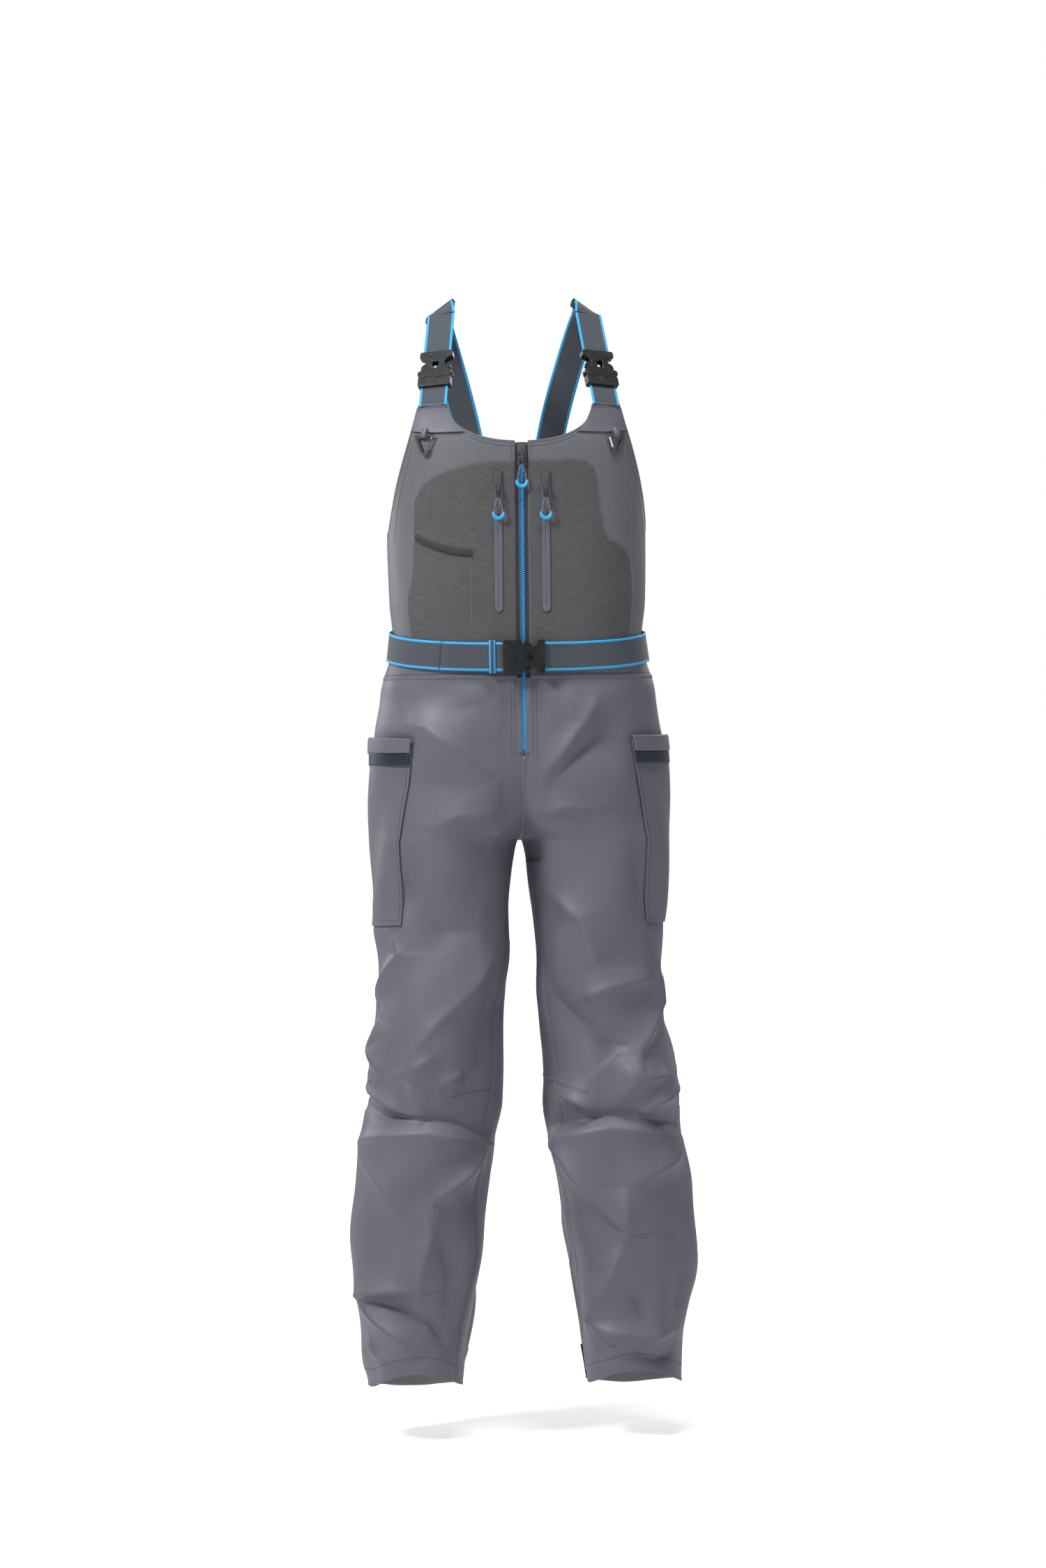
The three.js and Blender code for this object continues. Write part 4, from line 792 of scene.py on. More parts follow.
FINISHES = (
    ClothFinish("laminate", "6d6e79", "5c5d67", roughness=0.5, threads=1700, sheen=0.05),
    ClothFinish("bib_laminate", "6f6f76", "5d5d64", roughness=0.55, threads=1700, sheen=0.05, contours=0.16),
    ClothFinish("lining", "8f9296", "7c7f84", roughness=0.7, threads=1100, sheen=0.1),
    ClothFinish("heather_overlay", "656466", "39393c", roughness=0.85, threads=1400, sheen=0.2, streaks=1.5,
                blotch=0.2),
    ClothFinish("webbing", "555b64", "3c4149", roughness=0.9, threads=900, weave_height=0.0003, sheen=0.2),
    ClothFinish("piping", "2cb6f0", "1896d6", roughness=0.55, threads=1300, weave_height=0.00012, sheen=0.1),
    ClothFinish("zip_tape", "56575c", "3f4045", roughness=0.8, threads=1500, sheen=0.1),
    ClothFinish("pocket_tape", "6d717b", "575b65", roughness=0.45, threads=1500, sheen=0.05),
    ClothFinish("binding", "3d3935", "2b2826", roughness=0.8, threads=1300, sheen=0.2),
    ClothFinish("thread", "4c4c52", "38383e", roughness=0.7, threads=3000, sheen=0.2),
    ClothFinish("pale_thread", "9a9a9c", "7f7f83", roughness=0.7, threads=3000, sheen=0.2),
    ClothFinish("navy_tape", "232c42", "171d2e", roughness=0.5, threads=1500, sheen=0.05),
    ClothFinish("hook_strip", "4b5456", "2f3638", roughness=0.95, threads=700, weave_height=0.0006,
                sheen=0.3),
    HardFinish("buckle_black", "1a1b1e", "3a3b3f", 0.38),
    HardFinish("clip_grey", "3e4444", "666c6c", 0.5),
    HardFinish("slider_grey", "5b6067", "8d9298", 0.36, metallic=0.7),
    HardFinish("wire_steel", "c6c9cd", "e8eaed", 0.2, metallic=1.0),
    HardFinish("teeth_blue", "22aeee", "6cc8f5", 0.4),
    # A darker copy of teeth_blue for the right row of teeth: painted shade.
    HardFinish("teeth_deep", "1477b4", "3aa0dc", 0.4),
    HardFinish("grip_blue", "1ea6ea", "6cc8f5", 0.42),
    HardFinish("loop_grey", "6e6a6b", "8d898a", 0.6),
)


class Finishes:
    """Every finish, built once and handed out by name."""

    def __init__(self) -> None:
        """Builds the shared groups and all the materials."""
        groups = {"weave": weave_group(), "heather": heather_group(), "grain": grain_group(),
                  "contours": contour_group()}
        self.made = {finish.name: finish.build(groups) for finish in FINISHES}

    def dress(self, piece: bpy.types.Object, *names: str) -> bpy.types.Object:
        """Gives a piece its materials, one slot each."""
        if len(piece.data.materials):
            piece.data.materials.clear()
        for name in names:
            piece.data.materials.append(self.made[name])
        return piece


# ---------------------------------------------------------------- the trouser legs

RIGHT_FOLDS = (
    Fold(((158, -583), (127, -587), (108, -605), (73, -636), (38, -663)), 6, 16, 22),
    Fold(((92, -519), (61, -543), (50, -556)), 4, 10, 12),
    Fold(((20, -540), (22, -575), (24, -612)), 4, 10, 10),
    Fold(((125, -726), (88, -711), (38, -712), (12, -697)), 5, 30, 12),
    Fold(((42, -747), (22, -732), (8, -714)), 5, 14, 10),
    Fold(((172, -1066), (127, -998), (69, -932), (38, -885)), 9, 34, 46),
    Fold(((184, -868), (172, -901), (205, -975)), 5, 10, 14),
    Fold(((196, -985), (206, -1030), (190, -1075)), 7, 18, 18),
    Fold(((150, -830), (110, -868), (60, -874)), -4, 30, 30),
    Fold(((150, -760), (165, -800), (178, -860)), -4, 22, 22),
    Fold(((130, -1010), (100, -1040), (70, -1062)), 4, 20, 22),
    Fold(((171, -1068), (148, -1052), (123, -1036)), 5, 12, 22),
    Fold(((171, -1068), (150, -1104), (137, -1134)), 6, 15, 15),
    Fold(((121, -1080), (101, -1070), (88, -1066)), 5, 12, 14),
    Fold(((234, -1086), (206, -1098), (172, -1119), (137, -1132)), 7, 18, 10),
    Fold(((232, -1108), (200, -1127), (150, -1130), (100, -1138), (56, -1158)), -6.5, 14, 11),
    Fold(((230, -1166), (197, -1152), (144, -1144), (89, -1158), (50, -1172)), 7, 12, 34),
    Fold(((50, -1172), (92, -1209), (134, -1246)), 8, 12, 26),
    Fold(((134, -1247), (138, -1295), (155, -1368)), 7, 26, 26),
    Fold(((228, -1168), (197, -1218), (172, -1268), (154, -1305)), 5, 26, 26),
    Fold(((232, -1378), (212, -1371), (188, -1369), (155, -1369)), 7, 26, 8),
    Fold(((228, -1380), (206, -1410), (160, -1447)), 7, 12, 14),
    Fold(((222, -1380), (181, -1395), (135, -1415), (106, -1456)), -5, 9, 12),
    Fold(((218, -1440), (211, -1466)), 4, 12, 12),
    Fold(((140, -1462), (170, -1478), (205, -1470)), -3, 12, 12),
    Fold(((120, -1300), (108, -1350), (112, -1400)), -5, 18, 18),
)
LEFT_FOLDS = (
    Fold(((103, -543), (83, -581), (48, -632), (18, -667)), 7, 11, 13),
    Fold(((118, -590), (64, -636), (25, -694)), -5, 9, 12),
    Fold(((30, -527), (32, -560), (32, -598)), 4, 10, 10),
    Fold(((58, -528), (62, -556), (70, -584)), 3, 10, 10),
    Fold(((95, -704), (56, -702), (20, -712)), 5, 26, 10),
    Fold(((28, -806), (79, -854), (106, -925)), 6, 22, 34),
    Fold(((76, -967), (118, -948), (178, -936)), 6, 14, 26),
    Fold(((184, -921), (188, -971), (157, -1034), (149, -1066)), 8, 14, 14),
    Fold(((32, -932), (56, -983), (137, -1034), (146, -1066)), -6, 16, 26),
    Fold(((150, -760), (165, -810), (178, -870)), -4, 22, 22),
    Fold(((60, -850), (48, -910), (45, -980)), 4, 22, 22),
    Fold(((150, -1052), (158, -1071), (192, -1072)), 6, 14, 14),
    Fold(((139, -1046), (146, -1080), (132, -1110)), 5, 14, 14),
    Fold(((43, -1099), (68, -1106), (102, -1123)), 6, 16, 10),
    Fold(((155, -1136), (177, -1108), (208, -1084)), 8, 12, 12),
    Fold(((41, -1148), (80, -1137), (118, -1129), (158, -1134), (210, -1148)), -7, 13, 10),
    Fold(((41, -1162), (80, -1150), (118, -1143), (158, -1149), (214, -1166)), 7, 12, 34),
    Fold(((41, -1158), (64, -1183), (102, -1246), (138, -1292)), 9, 26, 12),
    Fold(((138, -1292), (139, -1258), (138, -1227)), 6, 22, 22),
    Fold(((138, -1227), (180, -1202), (222, -1178)), 6, 24, 22),
    Fold(((138, -1294), (118, -1355), (91, -1413)), 8, 24, 24),
    Fold(((91, -1415), (127, -1430), (168, -1442), (212, -1436)), 7, 20, 9),
    Fold(((93, -1418), (133, -1446), (113, -1470)), 5, 10, 12),
    Fold(((139, -1368), (155, -1400), (168, -1432)), -4, 16, 16),
    Fold(((205, -1300), (218, -1360), (210, -1410)), -4, 22, 22),
    Fold(((150, -1462), (175, -1472), (205, -1466)), -3, 10, 12),
)


def rear_folds(sign: int) -> tuple[Fold, ...]:
    """Folds behind the leg: a seat fold, a fan behind the knee and slanting creases on the calf."""
    rng = np.random.default_rng(SEED * 3 + sign)
    folds = [
        Fold(((30, -770), (90, -790), (160, -776)), -8, 26, 12, behind=True),
        Fold(((26, -786), (90, -806), (165, -790)), 6, 10, 26, behind=True),
        Fold(((60, -1108), (127, -1122), (205, -1106)), -11, 18, 10, behind=True),
        Fold(((52, -1128), (127, -1140), (214, -1124)), 9, 8, 24, behind=True),
        Fold(((70, -1086), (127, -1092), (196, -1080)), 6, 20, 9, behind=True),
        Fold(((110, -540), (80, -600), (40, -680)), 4, 24, 24, behind=True),
    ]
    for z in np.arange(-850, -1460, -52.0):
        middle = 55 + 0.5 * (z + 850) / -6.6
        slant = rng.choice((-1, 1)) * rng.uniform(18, 44)
        reach = rng.uniform(34, 62)
        centre = middle + rng.uniform(18, 62)
        inner = max(-z * 0.06 - 20 if z > -1120 else 42 - (z + 1120) * 0.14, 8)
        ends = (max(centre - reach, inner + 8), min(centre + reach, 198))
        folds.append(Fold(((ends[0], z - slant), ((ends[0] + ends[1]) / 2, z + rng.uniform(-8, 8)),
                           (ends[1], z + slant)),
                          rng.choice((-1, 1, 1)) * rng.uniform(4, 8), rng.uniform(12, 26),
                          rng.uniform(10, 20), behind=True))
    return tuple(folds)


@dataclass
class LegCloth:
    """One trouser half as a folded surface that other pieces are sewn on to.

    Its grid runs round from the inner front edge to the inner back edge, and from the waist seam to the hem.
    """

    form: BodyForm
    side: Side
    columns: int = 168
    rows: int = 330
    hem_rise: float = 24 * MM
    hem_drop: float = 12 * MM
    grid: Array = field(init=False)
    normals: Array = field(init=False)

    def __post_init__(self) -> None:
        """Works out the folded grid and its normals."""
        folds = (RIGHT_FOLDS if self.side is Side.RIGHT else LEFT_FOLDS) + rear_folds(self.side.sign)
        self.field = FoldField(self.form, self.side.sign, folds)
        u, v = np.meshgrid(np.linspace(0, 1, self.columns), np.linspace(0, 1, self.rows))
        self.grid, self.normals = self._folded(u, v)

    def reach(self, z: Array) -> Array:
        """Largest angle of the half at a height: up to the middle plane, or half a turn below the crotch."""
        return np.where(z > self.form.at.crotch, self.form.phi_at(0 * z, z), math.pi)

    def _place(self, u: Array, v: Array) -> tuple[Array, Array]:
        """Angle and height of grid shares, with the hem arched up in front and down behind."""
        at = self.form.at
        level = at.waist + (at.hem - at.waist) * v
        phi = (2 * u - 1) * self.reach(level)
        turn = np.sin(phi)
        arch = np.where(turn < 0, self.hem_rise, -self.hem_drop) * turn ** 2
        below = np.clip((at.knee_bottom - level) / (at.knee_bottom - at.hem), 0, 1)
        return phi, level + arch * below

    def shares(self, phi: Array, z: Array) -> tuple[Array, Array]:
        """Grid shares of an angle and height: the inverse of the arch and of the reach."""
        at = self.form.at
        turn = np.sin(phi)
        arch = np.where(turn < 0, self.hem_rise, -self.hem_drop) * turn ** 2
        span = at.knee_bottom - at.hem
        level = np.where(z < at.knee_bottom, at.knee_bottom - (at.knee_bottom - z) * span / (span - arch), z)
        return (phi / self.reach(level) + 1) / 2, (level - at.waist) / (at.hem - at.waist)

    def _folded(self, u: Array, v: Array) -> tuple[Array, Array]:
        """Form points lifted by the folds, which fade out at the waist seam, the middle seam and the zip."""
        at = self.form.at
        phi, z = self._place(u, v)
        base, out = self.form.surface(self.side.sign, phi, z)
        height = self.field.height(phi, z)
        from_waist = smooth((at.waist - z) / (36 * MM))
        from_middle = np.where(z > at.crotch - 30 * MM,
                               smooth((np.abs(base[..., 0]) - 13 * MM) / (26 * MM)), 1)
        seam = smooth((z - (at.crotch - 60 * MM)) / (30 * MM))
        from_middle = from_middle * seam + (1 - seam)
        ends = smooth(np.minimum(u, 1 - u) / 0.03)
        ends = np.where(z < at.crotch, 0.4 + 0.6 * ends, ends)
        below_crotch = smooth((at.crotch + 10 * MM - z) / (150 * MM))
        ends = ends * (below_crotch + (1 - below_crotch) * smooth(np.minimum(u, 1 - u) / 0.12))
        pocket = self._pocket_calm(phi, z)
        height = height * from_waist * from_middle * ends * pocket
        hem = smooth((v - 0.965) / 0.035)
        height = height * (1 - 0.55 * hem)
        sag = -0.35 * np.abs(height)
        points = base + out * height[..., None]
        points[..., 2] += np.where(z < at.crotch, sag, sag * 0.5)
        closed = z < at.crotch
        middle = (points[:, :1] + points[:, -1:]) / 2
        near = smooth((0.02 - np.minimum(u, 1 - u)) / 0.02) if self.columns == u.shape[1] else 0 * u
        target = np.where(closed[..., None], middle, points)
        points = points + (target - points) * near[..., None]
        normals = grid_normals(points)
        if float((normals * out).sum(-1).mean()) < 0:
            normals = -normals
        return points, normals

    def _pocket_calm(self, phi: Array, z: Array) -> Array:
        """Folds are halved where the cargo pocket holds the cloth."""
        at = self.form.at
        across = smooth((math.radians(56) - np.abs(phi)) / math.radians(12))
        down = smooth((at.waist - 70 * MM - z) / (20 * MM)) * smooth((z - (at.waist - 352 * MM)) / (24 * MM))
        return 1 - 0.6 * across * down

    def sample(self, phi: Array, z: Array, lift: Array | float = 0.0) -> tuple[Array, Array]:
        """Points and normals of the folded cloth between its grid points, lifted along the normal.

        Args:
            phi, z: angles and heights.
            lift: distance out along the normal.
        Returns:
            Points and unit normals.
        """
        u, v = self.shares(np.asarray(phi, float), np.asarray(z, float))
        x = np.clip(u, 0, 1) * (self.columns - 1)
        y = np.clip(v, 0, 1) * (self.rows - 1)
        i = np.clip(np.floor(x).astype(int), 0, self.columns - 2)
        j = np.clip(np.floor(y).astype(int), 0, self.rows - 2)
        fx, fy = (x - i)[..., None], (y - j)[..., None]
        def between(values: Array) -> Array:
            """Bilinear value of a grid."""
            low = values[j, i] * (1 - fx) + values[j, i + 1] * fx
            high = values[j + 1, i] * (1 - fx) + values[j + 1, i + 1] * fx
            return low * (1 - fy) + high * fy
        normals = between(self.normals)
        normals = normals / np.maximum(np.linalg.norm(normals, axis=-1, keepdims=True), 1e-9)
        return between(self.grid) + normals * np.asarray(lift)[..., None], normals

    def build(self, looks: Finishes) -> bpy.types.Object:
        """Makes the leg's shell and lines it."""
        word = self.side.word
        piece = cloth_piece(f"trouser_leg_{word}", self.grid, self.normals)
        looks.dress(piece, "laminate", "lining")
        declare(piece, "hung", f"bib_shell_{word}", "bib_back_shell")
        thicken(piece, 0.9 * MM, lining=True)
        return knee_blend(piece, self.side, self.form.at, f"leg_front_{word}", f"leg_back_{word}",
                          f"knee_{word}", f"shin_{word}")


def knee_blend(piece: bpy.types.Object, side: Side, at: Levels, *nodes: str) -> bpy.types.Object:
    """Bakes a piece's place into its mesh, and hides the CAD nodes that it stands for.

    Args:
        piece: the piece.
        side: not used.
        at: not used.
        nodes: CAD nodes that the piece stands for.
    Returns:
        The same piece.
    """
    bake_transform(piece)
    if nodes:
        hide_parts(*nodes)
    LOG.info("made %s", piece.name)
    return piece


# ---------------------------------------------------------------- the bib


@dataclass
class BibCloth:
    """The bib's front halves and back, with slow waves and a few soft creases."""

    form: BodyForm
    zip_edge: float = 9 * MM
    tab_inner: float = 101 * MM
    tab_outer: float = 140 * MM
    neck_drop: float = 52 * MM
    chest_half: float = 182 * MM
    yoke_half: float = 76 * MM
    wall: float = 0.9 * MM

    def height(self, sign: int, phi: Array, z: Array) -> Array:
        """Lift of the bib's cloth: seeded slow waves, a gathered belt line, and calm at zips and tabs."""
        at = self.form.at
        s = phi * WRAP_RADIUS
        rng = np.random.default_rng(SEED * 7 + sign)
        total = np.zeros_like(s)
        for _ in range(18):
            length = rng.uniform(70, 200) * MM
            turn = rng.uniform(-0.5, 0.5)
            shift = rng.uniform(0, 2 * math.pi)
            total += np.sin(2 * math.pi / length * (s * math.cos(turn) + z * math.sin(turn))
                            + shift) * length * 0.0016
        gather = np.exp(-((z - at.belt) / (46 * MM)) ** 2)
        total += gather * (np.sin(s / (17 * MM)) + 0.6 * np.sin(s / (9.5 * MM) + 1)) * 0.9 * MM
        x = np.abs(self.form.surface(1, phi, z)[0][..., 0])
        front = phi < 0
        calm = np.where(front, smooth((x - 42 * MM) / (40 * MM)), 1.0)
        calm = calm * smooth((at.tab + 4 * MM - z) / (70 * MM))
        calm = calm * (1 - 0.85 * np.exp(-((z - at.belt) / (24 * MM)) ** 2))
        calm = calm * smooth((z - at.waist + 2 * MM) / (24 * MM))
        return np.maximum(total * calm, -2.4 * MM)

    def place(self, sign: int, phi: Array, z: Array, lift: Array | float = 0.0) -> tuple[Array, Array]:
        """Points and level normals of the bib's cloth, lifted.

        Args:
            sign: the side's sign.
            phi, z: angles and heights.
            lift: distance out along the normal.
        Returns:
            Points and normals.
        """
        return self.form.surface(sign, phi, z, self.height(sign, phi, z) + lift)

    def at_x(self, sign: int, x: Array, z: Array, lift: Array | float = 0.0) -> tuple[Array, Array]:
        """Front points at distances x from the middle plane.

        Args:
            sign: the side's sign.
            x, z: distances from the middle plane, and heights.
            lift: distance out along the normal.
        Returns:
            Points and normals.
        """
        return self.place(sign, -self.form.phi_at(x, z), z, lift)

    def top_edge(self, u: Array) -> tuple[Array, Array]:
        """Neckline and tab top: a superellipse quarter from the zip up to the tab, then level.

        Returns x and z.
        """
        at = self.form.at
        turn = np.clip(u / 0.8, 0, 1) * math.pi / 2
        x = self.tab_inner * np.sin(turn) ** (2 / 2.2)
        z = at.tab - self.neck_drop * np.cos(turn) ** (2 / 2.2)
        level = u > 0.8
        x = np.where(level, self.tab_inner + (self.tab_outer - self.tab_inner) * (u - 0.8) / 0.2, x)
        return np.maximum(x, self.zip_edge), np.where(level, at.tab, np.maximum(z, at.neck))

    def armhole(self, t: Array) -> tuple[Array, Array]:
        """Cubic curve from the underarm to the tab's outer end. Returns x and z."""
        at = self.form.at
        ends = np.array([(self.chest_half, at.underarm), (self.chest_half - 3 * MM, at.underarm + 70 * MM),
                         (self.tab_outer + 16 * MM, at.tab - 62 * MM), (self.tab_outer, at.tab)])
        t = np.asarray(t, float)[..., None]
        p = ((1 - t) ** 3 * ends[0] + 3 * (1 - t) ** 2 * t * ends[1]
             + 3 * (1 - t) * t ** 2 * ends[2] + t ** 3 * ends[3])
        return p[..., 0], p[..., 1]

    def side_edge(self, v: Array) -> tuple[Array, Array]:
        """The bib's outer edge as angle and height: the side seam, then the armhole."""
        at = self.form.at
        share = (at.underarm - at.waist) / (at.tab - at.waist)
        x, z = self.armhole(np.clip((v - share) / (1 - share), 0, 1))
        seam = v <= share
        phi = np.where(seam, 0.0, self.form.phi_at(x, z))
        return phi, np.where(seam, at.waist + (at.underarm - at.waist) * np.clip(v / share, 0, 1), z)

    def front_grid(self, u: Array, v: Array) -> tuple[Array, Array]:
        """Angle and height over a bib front, blended from its four edges."""
        at = self.form.at
        low = at.waist
        low_edge = (self.form.phi_at(self.zip_edge, low) * (1 - u), low + 0 * u)
        x, z = self.top_edge(u)
        top = (self.form.phi_at(x, z), z)
        zip_z = low + (at.neck - low) * v
        zip_line = (self.form.phi_at(self.zip_edge + 0 * v, zip_z), zip_z)
        side = self.side_edge(v)
        corner = [self.form.phi_at(self.zip_edge, low), 0.0, self.form.phi_at(self.zip_edge, at.neck),
                  self.form.phi_at(self.tab_outer, at.tab)], [low, low, at.neck, at.tab]
        out = []
        for k in range(2):
            c = corner[k]
            out.append((1 - v) * low_edge[k] + v * top[k] + (1 - u) * zip_line[k] + u * side[k]
                       - ((1 - u) * (1 - v) * c[0] + u * (1 - v) * c[1] + (1 - u) * v * c[2] + u * v * c[3]))
        return out[0], out[1]

    def back_top(self, x: Array) -> Array:
        """Height of the back's top edge: level behind the yoke, then a quarter ellipse down each side."""
        at = self.form.at
        share = np.clip((np.abs(x) - self.yoke_half) / (self.chest_half - self.yoke_half), 0, 1)
        return at.yoke + (at.underarm - at.yoke) * (1 - np.sqrt(1 - share ** 2))

    def build_front(self, side: Side, looks: Finishes) -> bpy.types.Object:
        """One bib front: a lined sheet over the blended grid."""
        v, u = np.meshgrid(np.linspace(0, 1, 150), np.linspace(0, 1, 130), indexing="ij")
        phi, z = self.front_grid(u, v)
        points, out = self.place(side.sign, -phi, z)
        piece = cloth_piece(f"bib_shell_{side.word}", points, out, np.stack([phi * 130 * MM, z], -1))
        looks.dress(piece, "bib_laminate", "lining")
        declare(piece, "hung", f"webbing_lower_{side.word}")
        thicken(piece, self.wall, lining=True)
        return finished(piece, ROOT, "laminate", f"bib_front_{side.word}")

    def build_back(self, looks: Finishes) -> bpy.types.Object:
        """The back: one sheet from side seam to side seam, up to its curved top edge."""
        at = self.form.at
        v, u = np.meshgrid(np.linspace(0, 1, 110), np.linspace(-1, 1, 221), indexing="ij")
        phi = math.pi / 2 * (1 - np.abs(u))
        top = self.back_top(self.form.surface(1, phi, at.underarm)[0][..., 0])
        z = at.waist + (top - at.waist) * v
        right, out_right = self.place(-1, phi, z)
        left, out_left = self.place(1, phi, z)
        middle = smooth((np.abs(u) - 0.0) / 0.25)[..., None]
        even = (right * [-1, 1, 1] + left) / 2
        points = np.where((u < 0)[..., None], right * middle + even * [-1, 1, 1] * (1 - middle),
                          left * middle + even * (1 - middle))
        out = np.where((u < 0)[..., None], out_right, out_left)
        piece = cloth_piece("bib_back_shell", points, out, np.stack([u * 280 * MM, z], -1))
        looks.dress(piece, "bib_laminate", "lining")
        declare(piece, "hung", "yoke_patch")
        thicken(piece, self.wall, lining=True)
        return finished(piece, ROOT, "laminate", "bib_back")


def declare(piece: bpy.types.Object, held: str, *rests_on: str) -> bpy.types.Object:
    """Reports a sheet's cut size, from its running lengths, and its mesh's area.

    Args:
        piece: a sheet with cloth coordinates.
        held: not used.
        rests_on: not used.
    Returns:
        The same piece.
    """
    mesh = piece.data
    areas = np.zeros(len(mesh.polygons))
    mesh.polygons.foreach_get("area", areas)
    uv = np.zeros(len(mesh.loops) * 2)
    mesh.uv_layers["cloth"].data.foreach_get("uv", uv)
    spans = np.ptp(uv.reshape(-1, 2), axis=0)
    area = float(areas.sum())
    spans = spans * max(1.0, math.sqrt(area / float(spans[0] * spans[1])) * 1.01)
    LOG.info("%s is cut %.0f x %.0f mm, %.4f square metres", piece.name, spans[0] * 1000, spans[1] * 1000,
             area)
    return piece


def finished(piece: bpy.types.Object, body: str, slot: str, *nodes: str) -> bpy.types.Object:
    """Rides a piece on its body, hides the CAD nodes that it stands for, and reports it.

    Args:
        piece: a dressed piece.
        body: the body that carries it.
        slot: not used.
        nodes: CAD nodes that it stands for.
    Returns:
        The same piece.
    """
    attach(piece, body)
    if nodes:
        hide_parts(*nodes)
    LOG.info("made %s: %d vertices", piece.name, len(piece.data.vertices))
    return piece


# ---------------------------------------------------------------- things that run along a path


@dataclass
class Frames:
    """Frames along a path: a point and the directions across, outwards and along it, a row each."""

    at: Array
    cross: Array
    up: Array
    along: Array

    def __add__(self, other: "Frames") -> "Frames":
        """Joins two runs end to end."""
        return Frames(*(np.concatenate([getattr(self, k), getattr(other, k)])
                        for k in ("at", "cross", "up", "along")))

    def bar(self, name: str, profile: Array, slots: Array | None = None,
            closed: bool = False) -> bpy.types.Object:
        """Carries a profile along the frames.

        Args:
            name: the piece's name.
            profile: rows of (across, up).
            slots: material number for each edge of the profile.
            closed: whether the path closes on itself.
        Returns:
            The piece.
        """
        return carry(name, profile, self.at, self.cross, self.up, slots, closed)

    def line(self, across: float, lift: float) -> tuple[Array, Array]:
        """A path beside the frames, as points and their outward directions."""
        return self.at + self.cross * across + self.up * lift, self.up


def unit(v: Array) -> Array:
    """Rows scaled to length 1."""
    return v / np.maximum(np.linalg.norm(v, axis=-1, keepdims=True), 1e-12)


def frames_from(at: Array, along: Array, across: Array, sign: int = 1) -> Frames:
    """Frames from points, directions along and hints of the direction across.

    Args:
        at: points, a row of 3 each.
        along, across: directions, with the same shape.
        sign: -1 to turn the outward side round.
    Returns:
        Frames at the points.
    """
    along = unit(along)
    cross = unit(across - along * (across * along).sum(-1, keepdims=True))
    return Frames(at, cross, unit(np.cross(cross, along)) * sign, along)


def path_frames(points: Array, normals: Array, closed: bool = False) -> Frames:
    """Frames along a polyline that lies on a surface with the given normals.

    Args:
        points, normals: a row of 3 each.
        closed: whether the last point joins the first.
    Returns:
        Frames at the points.
    """
    if closed:
        along = np.roll(points, -1, 0) - np.roll(points, 1, 0)
    else:
        along = np.gradient(points, axis=0)
    along = unit(along)
    up = unit(normals - along * (normals * along).sum(-1, keepdims=True))
    return Frames(points, np.cross(along, up), up, along)


def evenly(points: Array, normals: Array, step: float) -> tuple[Array, Array]:
    """The same polyline with points a step apart along it.

    Args:
        points, normals: a row of 3 each.
        step: the wanted distance, which is rounded to fit the length.
    Returns:
        The new points and their unit normals.
    """
    run = np.concatenate([[0], np.cumsum(np.linalg.norm(np.diff(points, axis=0), axis=1))])
    stops = np.linspace(0, run[-1], max(int(run[-1] / step), 2) + 1)
    even_points, even_normals = (np.stack([np.interp(stops, run, column) for column in values.T], -1)
                                 for values in (points, normals))
    return even_points, unit(even_normals)


def web_profile(width: float, thickness: float, edge: float = 3.4 * MM) -> tuple[Array, Array]:
    """Profile of webbing with corded edges, and which of its sides belong to the edges.

    The edges stand 0.35 mm proud of the middle, and the middle is 0.15 mm thinner between its ribs.

    Args:
        width, thickness: the webbing's section.
        edge: width of each corded edge.
    Returns:
        The profile, and 1 for each of its sides that is an edge, else 0.
    """
    half = width / 2
    xs = np.array([-half, -half + 0.5 * MM, -half + edge - 0.5 * MM, -half + edge, -half + edge + 0.6 * MM,
                   -half * 0.4, half * 0.4, half - edge - 0.6 * MM, half - edge, half - edge + 0.5 * MM,
                   half - 0.5 * MM, half])
    proud = np.array([0.0, 0.35, 0.35, 0.05, 0, 0, 0, 0, 0.05, 0.35, 0.35, 0.0]) * MM
    low = np.stack([xs, -proud * 0.6 + np.where(np.abs(xs) >= half - 1e-9, 0.5 * MM, 0)], -1)
    top = np.stack([xs, thickness + proud - np.where(np.abs(xs) >= half - 1e-9, 0.5 * MM, 0)], -1)[::-1]
    profile = np.concatenate([low, top])
    middle = (profile + np.roll(profile, -1, 0)) / 2
    return profile, (np.abs(middle[:, 0]) > half - edge).astype(int)


def round_profile(radius: float, sides: int = 10) -> Array:
    """A circle of an even number of points."""
    turn = np.arange(sides) / sides * 2 * math.pi
    return np.stack([np.cos(turn), np.sin(turn)], -1) * radius


